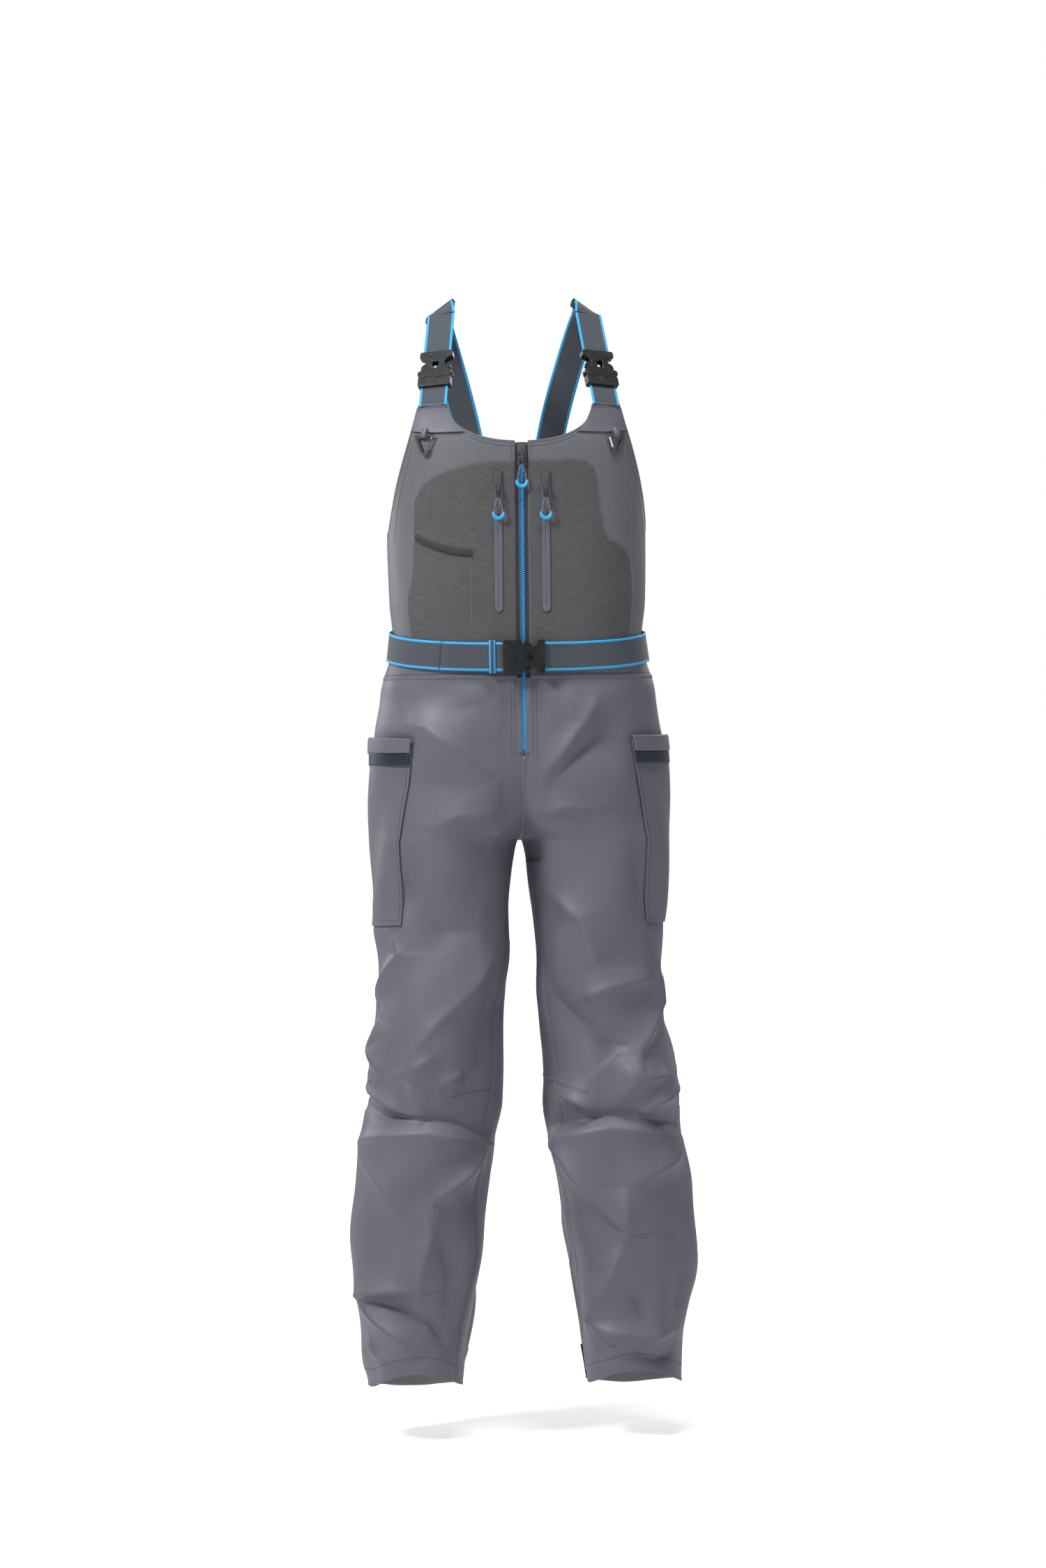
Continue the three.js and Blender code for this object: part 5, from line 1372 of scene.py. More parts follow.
@dataclass
class Sewing:
    """Seams and stitches: paths are collected, then sewn as one piece of thread per body and colour."""

    looks: Finishes
    pitch: float = 3.3 * MM
    runs: dict = field(default_factory=dict)

    def stitch(self, body: str, points: Array, normals: Array, colour: str = "thread") -> None:
        """Adds a row of stitches along a path.

        Args:
            body: the body that the row moves with.
            points, normals: the path, a row of 3 each.
            colour: the thread's finish.
        """
        self.runs.setdefault((body, colour), []).append(evenly(points, normals, self.pitch))

    def ridge(self, name: str, body: str, points: Array, normals: Array, width: float = 5 * MM,
              height: float = 0.7 * MM,
              finish: str = "laminate") -> bpy.types.Object:
        """A folded seam: a low rounded bar along a path, half buried in the cloth.

        Args:
            name: the piece's name.
            body: the body that it moves with.
            points, normals: the path, a row of 3 each.
            width, height: the seam's section.
            finish: its material.
        Returns:
            The piece.
        """
        at, out = evenly(points, normals, 4 * MM)
        xs = np.linspace(-1, 1, 9)
        top = np.stack([xs * width / 2, height * np.sqrt(np.clip(1 - xs ** 4, 0, 1))], -1)
        low = np.stack([xs * width / 2, 0 * xs - 0.5 * MM], -1)
        piece = path_frames(at, out).bar(name, np.concatenate([low, top[::-1]]))
        self.looks.dress(piece, finish)
        return sewn(piece, body, "laminate")

    def finish(self) -> None:
        """Makes the thread."""
        template, faces = capsule(2.5 * MM, 0.32 * MM)
        for (body, colour), runs in self.runs.items():
            frames = [path_frames(at, out) for at, out in runs]
            whole = frames[0]
            for more in frames[1:]:
                whole = whole + more
            piece = scatter(f"stitches_{colour}_{body}", template, faces, whole.at + whole.up * 0.12 * MM,
                            whole.along,
                            whole.cross, whole.up)
            self.looks.dress(piece, colour)
            sewn(piece, body, "laminate")


def sewn(piece: bpy.types.Object, body: str, slot: str, *nodes: str) -> bpy.types.Object:
    """Rides a piece on a body, or, where the body is a leg, bakes its place into its mesh.

    Args:
        piece: a dressed piece.
        body: the body that carries it.
        slot: its material slot.
        nodes: CAD nodes that it stands for.
    Returns:
        The same piece.
    """
    if body.startswith("leg_"):
        at = Levels()
        return knee_blend(piece, Side.RIGHT if body.endswith("right") else Side.LEFT, at, *nodes)
    return finished(piece, body, slot, *nodes)


# ---------------------------------------------------------------- straps and belt


@dataclass
class StrapRun:
    """One shoulder strap: from the bib tab straight up to the shoulder, over it and down to the yoke."""

    form: BodyForm
    side: Side
    shoulder_x: float = 102 * MM
    slope: float = math.radians(31)
    rear_slope: float = math.radians(12)
    radius: float = 20 * MM
    roll: float = math.radians(38)
    lower: float = 29 * MM
    buckle: float = 58.3 * MM
    rear: float = 60 * MM
    yoke_x: float = 48 * MM
    width: float = 40 * MM
    thickness: float = 1.8 * MM

    def __post_init__(self) -> None:
        """Finds the line's start, its turn over the shoulder and its directions across."""
        at, sign = self.form.at, self.side.sign
        x = 120.5 * MM
        sewn_in = self.form.surface(sign, -self.form.phi_at(x, at.tab), at.tab, -0.6 * MM)[0]
        self.start = sewn_in + [0, 0, 1.5 * MM]
        turn = math.pi / 2 - self.slope
        depth = -self.radius * (1 - math.cos(turn))
        reach = self.shoulder_x + (x - self.shoulder_x) * depth / at.tab
        self.bend = np.array([sign * reach, -self.radius * math.sin(turn), depth])
        self.length = float(np.linalg.norm(self.bend - self.start))
        self.forward = (self.bend - self.start) / self.length
        self.sewn = unit(np.array([sign, 0.32, -0.1]))
        self.rolled = np.array([sign * math.cos(self.roll), 0, -math.sin(self.roll)])

    def front(self, distance: Array) -> Frames:
        """Frames on the straight run, at distances above the tab; it rolls outwards above the buckle."""
        distance = np.asarray(distance, float)[:, None]
        above = self.lower + self.buckle
        share = np.clip((distance - above) / (self.length - above), 0, 1) * 0.6
        return frames_from(self.start + self.forward * distance, self.forward + 0 * distance,
                           self.sewn + (self.rolled - self.sewn) * share, self.side.sign)

    def over(self, share: Array) -> Frames:
        """Frames round the shoulder, a circle from the front slope to the rear one."""
        share = np.asarray(share, float)[:, None]
        first, last = -(math.pi / 2 - self.slope), self.rear_slope
        angle = first + (last - first) * share
        x = self.bend[0] + (self.side.sign * self.shoulder_x - self.bend[0]) * share
        at = np.concatenate([x, self.radius * np.sin(angle), -self.radius * (1 - np.cos(angle))], -1)
        drift = (self.side.sign * self.shoulder_x - self.bend[0]) / (2 * self.radius)
        along = np.concatenate([drift + 0 * angle, np.cos(angle), -np.sin(angle)], -1)
        return frames_from(at, along, self.sewn + (self.rolled - self.sewn) * (0.6 + 0.4 * share),
                           self.side.sign)

    def behind(self, distance: Array) -> Frames:
        """Frames on the straight run behind the shoulder."""
        distance = np.asarray(distance, float)[:, None]
        tangent = np.array([0, math.cos(self.rear_slope), -math.sin(self.rear_slope)])
        start = np.array([self.side.sign * self.shoulder_x, self.radius * math.sin(self.rear_slope),
                          -self.radius * (1 - math.cos(self.rear_slope))])
        return frames_from(start + tangent * distance, tangent + 0 * distance, self.rolled + 0 * distance,
                           self.side.sign)

    def fall(self, steps: int) -> Frames:
        """Frames down a cubic curve from the rear run to the yoke."""
        at = self.form.at
        first = self.behind(np.array([self.rear]))
        p0 = first.at[0]
        p1 = p0 + first.along[0] * 45 * MM
        foot = self.form.surface(1, self.form.phi_at(self.yoke_x, at.yoke), at.yoke)[0]
        p3 = np.array([self.side.sign * self.yoke_x, foot[1], at.yoke + 0.9 * MM])
        p2 = p3 + [0, 2 * MM, 90 * MM]
        t = ((np.arange(steps) + 1) / steps)[:, None]
        place = (1 - t) ** 3 * p0 + 3 * (1 - t) ** 2 * t * p1 + 3 * (1 - t) * t ** 2 * p2 + t ** 3 * p3
        along = 3 * (1 - t) ** 2 * (p1 - p0) + 6 * (1 - t) * t * (p2 - p1) + 3 * t ** 2 * (p3 - p2)
        across = self.rolled + (np.array([self.side.sign, 0, 0]) - self.rolled) * np.minimum(1, t * 1.4)
        return frames_from(place, along, across, self.side.sign)

    def build(self, looks: Finishes, sewing: Sewing) -> None:
        """Makes the three webbing pieces."""
        word = self.side.word
        profile, edges = web_profile(self.width, self.thickness)
        top = self.lower + self.buckle
        lower = self.front(np.linspace(-3 * MM, self.lower + 5.5 * MM, 24))
        piece = looks.dress(lower.bar(f"webbing_lower_{word}", profile, edges), "webbing", "piping")
        finished(piece, ROOT, "webbing", f"lower_strap_{word}")
        seam = self.front(np.array([3.5 * MM, 3.6 * MM]))
        ends = seam.line(-18 * MM, self.thickness)[0][:1], seam.line(18 * MM, self.thickness)[0][:1]
        sewing.stitch(ROOT, np.concatenate(ends), np.repeat(seam.up[:1], 2, 0))
        upper = self.front(np.linspace(top - 5.5 * MM, self.length - 0.3 * MM, 40))
        piece = looks.dress(upper.bar(f"webbing_front_{word}", profile, edges), "webbing", "piping")
        finished(piece, ROOT, "webbing", f"front_strap_{word}")
        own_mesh(piece)
        over = self.over(np.linspace(0, 1, 18)) + self.behind(np.linspace(4 * MM, self.rear,
                                                                          18)) + self.fall(60)
        piece = looks.dress(over.bar(f"webbing_shoulder_{word}", profile, edges), "webbing", "piping")
        finished(piece, ROOT, "webbing", f"shoulder_strap_{word}")


@dataclass
class Belt:
    """The waist belt: a loop of webbing that dips in front, with a keeper beside the buckle."""

    form: BodyForm
    tilt: float = 18 * MM
    lift: float = 3.2 * MM
    buckle_lift: float = 9.6 * MM
    buckle_half: float = 29.15 * MM
    width: float = 40 * MM
    thickness: float = 1.8 * MM
    split_x: float = 112 * MM

    def frames(self, sign: int, phi: Array) -> Frames:
        """Frames round the body at angles of one half; near the buckle the belt stands off the body.

        The stand-off is exp(-(distance from the buckle / 20 mm)^2). Elsewhere the belt leans with the body.

        Args:
            sign: the side's sign.
            phi: angles from the outermost point, negative in front.
        Returns:
            Frames at the angles.
        """
        phi = np.asarray(phi, float)
        at = self.form.at
        z = at.belt - self.tilt * np.sin(-phi)
        x = np.abs(self.form.surface(sign, phi, z)[0][:, 0])
        off = np.where(phi < 0, np.exp(-(np.maximum(0, x - self.buckle_half) / (20 * MM)) ** 2), 0)
        lift = self.lift + (self.buckle_lift - self.thickness / 2 - self.lift) * off
        high, out = self.form.surface(sign, phi, z + self.width / 2, lift)
        low, _ = self.form.surface(sign, phi, z - self.width / 2, lift)
        cross = (high - low) * (1 - off[:, None]) + np.array([0, 0, self.width]) * off[:, None]
        cross = unit(cross)
        up = unit(out - cross * (out * cross).sum(-1, keepdims=True))
        return Frames((high + low) / 2, cross, up, np.cross(cross, up))

    def at_x(self, sign: int, x: Array) -> Frames:
        """Front frames at distances from the middle plane."""
        return self.frames(sign, -self.form.phi_at(np.asarray(x, float), self.form.at.belt - self.tilt))

    def build(self, looks: Finishes, sewing: Sewing) -> None:
        """Makes the webbing loop, the short front run, the keeper and the box seam."""
        profile, edges = web_profile(self.width, self.thickness)
        near = self.buckle_half + np.concatenate([np.linspace(-5.5, 30, 20), np.linspace(34, 60, 8)]) * MM
        run = self.at_x(-1, np.concatenate([near, [100 * MM, self.split_x - 0.3 * MM]]))
        piece = looks.dress(run.bar("webbing_belt_front", profile, edges), "webbing", "piping")
        finished(piece, ROOT, "webbing", "belt_front_right")
        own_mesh(piece)
        split = float(-self.form.phi_at(self.split_x, self.form.at.belt - self.tilt))
        back = np.linspace(split, math.pi / 2, 90)
        whole = self.frames(-1, back) + self._mirrored(self.frames(1, back[::-1][1:]))
        whole = whole + self._mirrored(self.at_x(1, near[::-1]))
        piece = looks.dress(whole.bar("webbing_belt", profile, edges), "webbing", "piping")
        finished(piece, ROOT, "webbing", "belt_webbing")
        box = self._mirrored(self.at_x(1, np.linspace(33, 66, 12)[::-1] * MM))
        for across in (-14 * MM, 14 * MM):
            sewing.stitch(ROOT, *box.line(across, self.thickness))
        for k in (0, -1):
            ends = [box.line(across, self.thickness)[0][k] for across in (-14 * MM, 14 * MM)]
            sewing.stitch(ROOT, np.array(ends), np.repeat(box.up[k][None], 2, 0))
        self._turned_end(looks, edges, profile)
        self._loop(looks, sewing)

    def _loop(self, looks: Finishes, sewing: Sewing) -> None:
        """A short upright run of webbing over the belt at the back, sewn down above and below it."""
        middle = self.form.at.belt + self.tilt
        steps = np.linspace(-29, 29, 80) * MM
        panel = self.form.surface(1, np.full(80, math.pi / 2), middle + steps, 1.2 * MM)[0][:, 1]
        ends = middle + np.array([-0.5, 0.5]) * self.width
        over = self.form.surface(1, np.full(2, math.pi / 2), ends,
                                 self.lift)[0][:, 1].max() + self.thickness + 0.5 * MM
        share = smooth((25 * MM - np.abs(steps)) / (3.5 * MM))
        points = np.stack([0 * steps, panel + (over - panel) * share, middle + steps], -1)
        frames = path_frames(points, np.repeat([[0.0, 1.0, 0.0]], len(points), 0))
        profile, edges = web_profile(22 * MM, 1.2 * MM, 2 * MM)
        finished(looks.dress(frames.bar("belt_loop_webbing", profile, edges), "webbing", "piping"), ROOT,
                 "webbing", "belt_loop")
        for k in (3, -4):
            ends = [frames.line(across, 1.2 * MM)[0][k] for across in (-8 * MM, 8 * MM)]
            sewing.stitch(ROOT, np.array(ends), np.repeat(frames.up[k][None], 2, 0))

    def _turned_end(self, looks: Finishes, edges: Array, profile: Array) -> None:
        """A keeper round the belt, beside the buckle's socket half."""
        keeper = self.at_x(-1, np.linspace(38, 48, 6) * MM)
        outline = rounded_band(self.width + 5 * MM, self.thickness + 4.4 * MM, 1.5 * MM)
        rings = []
        for k in (0, -1):
            rings.append(keeper.at[k] + keeper.cross[k] * outline[:, :1]
                         + keeper.up[k] * (outline[:, 1:] + self.thickness / 2))
        ring = np.array(rings).mean(0)
        along = keeper.along[2]
        frames = path_frames(ring, unit(ring - ring.mean(0)), closed=True)
        cross = np.repeat(along[None], len(ring), 0)
        flat = np.concatenate([np.stack([np.linspace(-4.5, 4.5, 5), np.full(5, -0.5)], -1),
                               np.stack([np.linspace(4.5, -4.5, 5), np.full(5, 0.5)], -1)]) * MM
        slots = np.array([1, 0, 0, 1, 1, 1, 0, 0, 1, 1])
        piece = carry("belt_keeper", flat, ring, cross, frames.up, slots, closed=True)
        looks.dress(piece, "webbing", "piping")
        finished(piece, ROOT, "webbing")
        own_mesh(piece)

    @staticmethod
    def _mirrored(frames: Frames) -> Frames:
        """Turns the direction along, for a half that is run through backwards."""
        return Frames(frames.at, frames.cross, frames.up, -frames.along)


def rounded_band(width: float, height: float, corner: float, steps: int = 6) -> Array:
    """A closed rounded rectangle, its points going round once.

    Args:
        width, height: the outline's size.
        corner: its corners' radius.
        steps: points in each corner.
    Returns:
        One row of 2 for each point.
    """
    points = []
    for k, (sx, sy) in enumerate(((1, 1), (-1, 1), (-1, -1), (1, -1))):
        turn = np.linspace(0, math.pi / 2, steps) + k * math.pi / 2
        centre = np.array([sx * (width / 2 - corner), sy * (height / 2 - corner)])
        points.append(centre + np.stack([np.cos(turn), np.sin(turn)], -1) * corner)
    return np.concatenate(points)


# ---------------------------------------------------------------- pieces sewn on the bib


def spline(points: tuple, t: Array) -> Array:
    """Uniform cubic through points in a plane: a Catmull-Rom spline with held ends.

    Args:
        points: the points that it passes.
        t: shares of the way, 0 to 1.
    Returns:
        One row of 2 for each share.
    """
    p = np.array(points, float)
    t = np.clip(np.asarray(t, float), 0, 1) * (len(p) - 1)
    i = np.minimum(np.floor(t).astype(int), len(p) - 2)
    w = (t - i)[..., None]
    a, b, c, d = p[np.where(i == 0, i, i - 1)], p[i], p[i + 1], p[np.minimum(i + 2, len(p) - 1)]
    v0, v1 = (c - a) * 0.5, (d - b) * 0.5
    return (2 * b - 2 * c + v0 + v1) * w ** 3 + (-3 * b + 3 * c - 2 * v0 - v1) * w ** 2 + v0 * w + b


@dataclass
class BibTrims:
    """Overlays, tabs, pocket binding, zips and stitched edges of the bib."""

    bib: BibCloth
    looks: Finishes
    sewing: Sewing

    def __post_init__(self) -> None:
        """Keeps the form and its levels at hand."""
        self.form = self.bib.form
        self.at = self.form.at
        self.top = self.at.neck - 26 * MM
        self.low = self.at.belt - 6 * MM

    def overlay_lines(self, side: Side) -> tuple[tuple, tuple]:
        """Top and outer edge points of an overlay as (x, z)."""
        top, belt, edge = self.top, self.at.belt, self.bib.zip_edge + 1 * MM
        if side is Side.RIGHT:
            return (((edge, top), (60 * MM, top - 3 * MM), (106 * MM, top - 14 * MM),
                     (134 * MM, top - 31 * MM), (147 * MM, top - 54 * MM)),
                    ((150 * MM, self.low), (157 * MM, belt + 58 * MM), (150 * MM, belt + 110 * MM),
                     (147 * MM, top - 54 * MM)))
        return (((edge, top), (50 * MM, top + 2 * MM), (84 * MM, top + 1 * MM), (98 * MM, top - 7 * MM)),
                ((150 * MM, self.low), (156 * MM, belt + 70 * MM), (153 * MM, belt + 118 * MM),
                 (138 * MM, belt + 137 * MM), (118 * MM, belt + 148 * MM), (108 * MM, belt + 185 * MM),
                 (104 * MM, belt + 225 * MM), (98 * MM, top - 7 * MM)))

    def overlay_points(self, side: Side, u: Array, v: Array) -> Array:
        """Blend of the overlay's four edges, as (x, z)."""
        top_line, outer_line = self.overlay_lines(side)
        edge = self.bib.zip_edge + 1 * MM
        inner = np.stack([edge + 0 * v, self.low + (self.top - self.low) * v], -1)
        low = np.stack([edge + (150 * MM - edge) * u, self.low + 0 * u], -1)
        high, outer = spline(top_line, u), spline(outer_line, v)
        corner = [np.array(p) for p in (
            (edge, self.low), (150 * MM, self.low), (edge, self.top), top_line[-1])]
        a, b = u[..., None], v[..., None]
        return (1 - b) * low + b * high + (1 - a) * inner + a * outer - (
            (1 - a) * (1 - b) * corner[0] + a * (1 - b) * corner[1]
            + (1 - a) * b * corner[2] + a * b * corner[3])

    def overlays(self) -> None:
        """Heather panels bonded to the bib, with soft upright creases near their upper outer corners."""
        for side in Side:
            v, u = np.meshgrid(np.linspace(0, 1, 150), np.linspace(0, 1, 100), indexing="ij")
            xz = self.overlay_points(side, u, v)
            x, z = xz[..., 0], xz[..., 1]
            crease = sum(h * MM * np.exp(-((x - c * MM - (z - self.at.belt) * lean) / (w * MM)) ** 2)
                         for h, c, lean, w in ((1.5, 118, 0.05, 6), (-0.9, 104, 0.09, 7), (1.1, 90, 0.12, 8),
                                               (0.9, 132, -0.02, 5)))
            crease = crease * smooth((z - self.at.belt - 152 * MM) / (40 * MM))
            crease = crease * smooth((self.top - 24 * MM - z) / (30 * MM))
            rim = np.minimum(np.minimum(1 - u, 1 - v) * 60, 1)
            lift = (1.5 * MM + np.maximum(crease, -0.2 * MM) * (1.0 if side is Side.RIGHT else 0.5)
                    - 0.5 * MM * (1 - rim) ** 2)
            points, out = self.bib.at_x(side.sign, x, z, lift)
            piece = cloth_piece(f"heather_panel_{side.word}", points, out, np.stack([x * side.sign, z], -1))
            self.looks.dress(piece, "heather_overlay")
            declare(piece, "laid", f"bib_shell_{side.word}")
            thicken(piece, 1.1 * MM)
            finished(piece, ROOT, "overlay", f"overlay_{side.word}")

    def pocket_edge(self) -> None:
        """The hand pocket's bound mouth with its bar tack, and the pale stitches down from its inner end."""
        belt = self.at.belt
        t = np.linspace(0, 1, 60)
        p = [np.array(q) * MM + [0, belt] for q in ((146, 150), (112, 128), (70, 126))]
        line = ((1 - t) ** 2)[:, None] * p[0] + (2 * t * (1 - t))[:, None] * p[1] + (t ** 2)[:, None] * p[2]
        v, k = np.meshgrid(np.linspace(-1, 1, 9), np.arange(60), indexing="ij")
        z = line[k, 1] + v * 4.5 * MM
        lift = 2.2 * MM + 0.7 * MM * np.sqrt(np.clip(1 - v ** 4, 0, 1))
        points, out = self.bib.at_x(-1, line[k, 0], z, lift)
        piece = cloth_piece("pocket_mouth_binding", points, out)
        self.looks.dress(piece, "binding")
        thicken(piece, 0.8 * MM)
        finished(piece, ROOT, "binding", "hand_pocket_binding")
        z = np.linspace(belt + 124 * MM, belt + 24 * MM, 40)
        self.sewing.stitch(ROOT, *self.bib.at_x(-1, 71 * MM + 0 * z, z, 1.6 * MM), colour="pale_thread")
        z = np.linspace(belt + 131 * MM, belt + 121 * MM, 6)
        for x in (69.2, 70, 70.8):
            self.sewing.stitch(ROOT, *self.bib.at_x(-1, x * MM + 0 * z, z, 3.0 * MM))
        for drop in (5.6, -5.6):
            self.sewing.stitch(ROOT, *self.bib.at_x(-1, line[2:-2, 0], line[2:-2, 1] + drop * MM, 1.7 * MM),
                               colour="binding")

    def tabs(self) -> None:
        """The doubled tabs that take the straps, with a bowed lower edge and two rows of stitches."""
        at = self.at
        for side in Side:
            def edge(u: Array, v: Array, lift: float) -> tuple[Array, Array]:
                """Points of the tab from its lower edge to the top."""
                sag = np.where(u < 0.5, 1.2, 3.0) * MM * (2 * u - 1) ** 2
                low = at.tab - 38 * MM + sag
                z = low + (at.tab + 2.2 * MM - low) * v
                inner = 77 * MM + 24 * MM * v ** 0.55
                outer = 151 * MM - 11 * MM * v - 1 * MM
                return self.form.surface(side.sign, -self.form.phi_at(inner + (outer - inner) * u, z), z,
                                         lift)
            v, u = np.meshgrid(np.linspace(0, 1, 60), np.linspace(0, 1, 60), indexing="ij")
            bow = 0.9 * MM * np.exp(-(v / 0.1) ** 2) * np.sin(math.pi * u)
            bow = bow + 0.5 * MM * np.sin(3 * math.pi * u + 0.5) * (1 - v) ** 2
            points, out = edge(u, v, 2.2 * MM + np.maximum(bow, -0.3 * MM))
            piece = cloth_piece(f"strap_tab_{side.word}", points, out)
            self.looks.dress(piece, "laminate")
            declare(piece, "laid", f"bib_shell_{side.word}")
            thicken(piece, 1.0 * MM)
            finished(piece, ROOT, "laminate", f"shoulder_tab_{side.word}")
            self.clip_sleeve(side)
            u = np.linspace(0.03, 0.97, 50)
            self.sewing.stitch(ROOT, *edge(u, 0 * u + 0.95, 2.4 * MM))
            self.sewing.stitch(ROOT, *edge(u, 0 * u + 0.88, 2.4 * MM))

    def clip_sleeve(self, side: Side) -> None:
        """A tape folded round the gear clip's bar, with both of its ends sewn to the tab's lower edge.

        The fold keeps 0.3 mm of room round the corners of the turning bar.

        Args:
            side: the half of the bib that it belongs to.
        """
        z = self.at.tab - 42 * MM
        phi = -self.form.phi_at(131 * MM, z)
        centre = self.form.surface(side.sign, phi, z, 5.4 * MM)[0]
        normal = unit(centre - self.form.surface(side.sign, phi, z, 0.0)[0])
        rise = np.array([0.0, 0.0, 1.0])
        fold = spline(((10, -2.7), (5, -3.0), (0, -3.1), (-2.2, -2.2), (-3.1, 0), (-2.2, 2.2), (0, 3.1),
                       (4, 2.3), (8, -0.2),
                       (10.5, -1.5)), np.linspace(0, 1, 60)) * MM
        points = centre + fold[:, :1] * rise + fold[:, 1:] * normal
        across = np.repeat(unit(np.cross(rise, normal))[None], len(points), 0)
        tape = np.array([(-4, -0.5), (4, -0.5), (4, 0.5), (-4, 0.5)]) * MM
        piece = frames_from(points, np.gradient(points, axis=0), across).bar(f"clip_sleeve_{side.word}", tape)
        finished(self.looks.dress(piece, "laminate"), ROOT, "laminate")

    def edges(self) -> None:
        """Folded edges: rolled rims and stitch rows round the neckline, armholes, back and zip."""
        at = self.at
        for side in Side:
            u = np.linspace(0.03, 0.8, 90)
            x, z = self.bib.top_edge(u)
            rim = self.bib.at_x(side.sign, x, z, 0.1 * MM)
            self.sewing.ridge(f"neck_rim_{side.word}", ROOT, *rim, width=3.4 * MM, height=0.5 * MM,
                              finish="bib_laminate")
            self.sewing.stitch(ROOT, *self.bib.at_x(side.sign, np.maximum(x - 2 * MM, 12 * MM), z - 6.5 * MM,
                                                    0.1 * MM))
            t = np.linspace(0.02, 0.985, 90)
            x, z = self.bib.armhole(t)
            self.sewing.ridge(f"armhole_rim_{side.word}", ROOT, *self.bib.at_x(side.sign, x, z, 0.1 * MM),
                              width=3.4 * MM,
                              height=0.5 * MM, finish="bib_laminate")
            self.sewing.stitch(ROOT, *self.bib.at_x(side.sign, x - 7 * MM, z - 2 * MM * (1 - t), 0.1 * MM))
            z = np.linspace(at.waist + 4 * MM, at.underarm, 70)
            self.sewing.ridge(f"side_seam_{side.word}", ROOT, *self.bib.place(side.sign, 0 * z, z),
                              width=7 * MM, height=0.6 * MM,
                              finish="bib_laminate")
            for phi in (-0.028, 0.028):
                self.sewing.stitch(ROOT, *self.bib.place(side.sign, phi + 0 * z, z, 0.5 * MM))
            z = np.linspace(at.neck - 4 * MM, at.waist + 8 * MM, 90)
            self.sewing.stitch(ROOT, *self.bib.at_x(side.sign, 13.5 * MM + 0 * z, z, 0.1 * MM))
            phi = -np.linspace(float(self.form.phi_at(10 * MM, at.waist)), 0.04, 90)
            self.sewing.ridge(f"waist_seam_front_{side.word}", ROOT,
                              *self.bib.place(side.sign, phi, at.waist + 0 * phi, 0.2 * MM),
                              width=6 * MM, height=0.8 * MM)
            self.sewing.stitch(ROOT, *self.bib.place(side.sign, phi, at.waist + 4.5 * MM + 0 * phi, 0.3 * MM))
            phi = np.linspace(-0.04, math.pi / 2, 60)
            self.sewing.ridge(f"waist_seam_back_{side.word}", ROOT,
                              *self.bib.place(side.sign, phi, at.waist + 0 * phi, 0.2 * MM),
                              width=6 * MM, height=0.8 * MM)
        x = np.linspace(-1, 1, 161) * (self.bib.chest_half - 2 * MM)
        z = self.bib.back_top(x)
        phi = self.form.phi_at(np.abs(x), z)
        points, out = self.form.surface(1, phi, z, 0.2 * MM)
        mirror = np.stack([np.sign(x), 1 + 0 * x, 1 + 0 * x], -1)
        self.sewing.ridge("back_rim", ROOT, points * mirror, out * mirror, width=4 * MM, height=0.5 * MM,
                          finish="bib_laminate")

    def yoke(self) -> None:
        """The doubled back yoke, with a boxed seam on each strap end."""
        at = self.at
        def face(u: Array, v: Array, lift: float) -> tuple[Array, Array]:
            """Points of the yoke, a trapezoid that narrows upwards."""
            half = 86 * MM - 14 * MM * v
            z = at.yoke - 40 * MM * (1 - v)
            x = (2 * u - 1) * half
            points, out = self.form.surface(1, self.form.phi_at(np.abs(x), z), z, lift)
            mirror = np.stack([np.where(x < 0, -1.0, 1.0), 1 + 0 * x, 1 + 0 * x], -1)
            return points * mirror, out * mirror
        v, u = np.meshgrid(np.linspace(0, 1, 30), np.linspace(0, 1, 81), indexing="ij")
        points, out = face(u, v, 2.2 * MM)
        piece = cloth_piece("yoke_patch", points, out)
        self.looks.dress(piece, "laminate")
        declare(piece, "laid", "bib_back_shell")
        thicken(piece, 1.1 * MM)
        finished(piece, ROOT, "laminate", "back_yoke")
        u = np.linspace(0.02, 0.98, 60)
        for v in (0.08, 0.92):
            self.sewing.stitch(ROOT, *face(u, 0 * u + v, 2.3 * MM))
        v = np.linspace(0.08, 0.92, 12)
        for u in (0.02, 0.98):
            self.sewing.stitch(ROOT, *face(0 * v + u, v, 2.3 * MM))
        for middle in (0.5 - 0.29, 0.5 + 0.29):
            for a, b in (((-1, 0.2), (1, 0.2)), ((1, 0.2), (1, 0.85)), ((1, 0.85), (-1, 0.85)),
                         ((-1, 0.85), (-1, 0.2)),
                         ((-1, 0.2), (1, 0.85)), ((1, 0.2), (-1, 0.85))):
                t = np.linspace(0, 1, 8)
                u = middle + 0.11 * (a[0] + (b[0] - a[0]) * t)
                self.sewing.stitch(ROOT, *face(u, a[1] + (b[1] - a[1]) * t, 2.3 * MM), colour="pale_thread")

    def build(self) -> None:
        """Makes every trim of the bib."""
        self.overlays()
        self.pocket_edge()
        self.tabs()
        self.edges()
        self.yoke()


# ---------------------------------------------------------------- zips


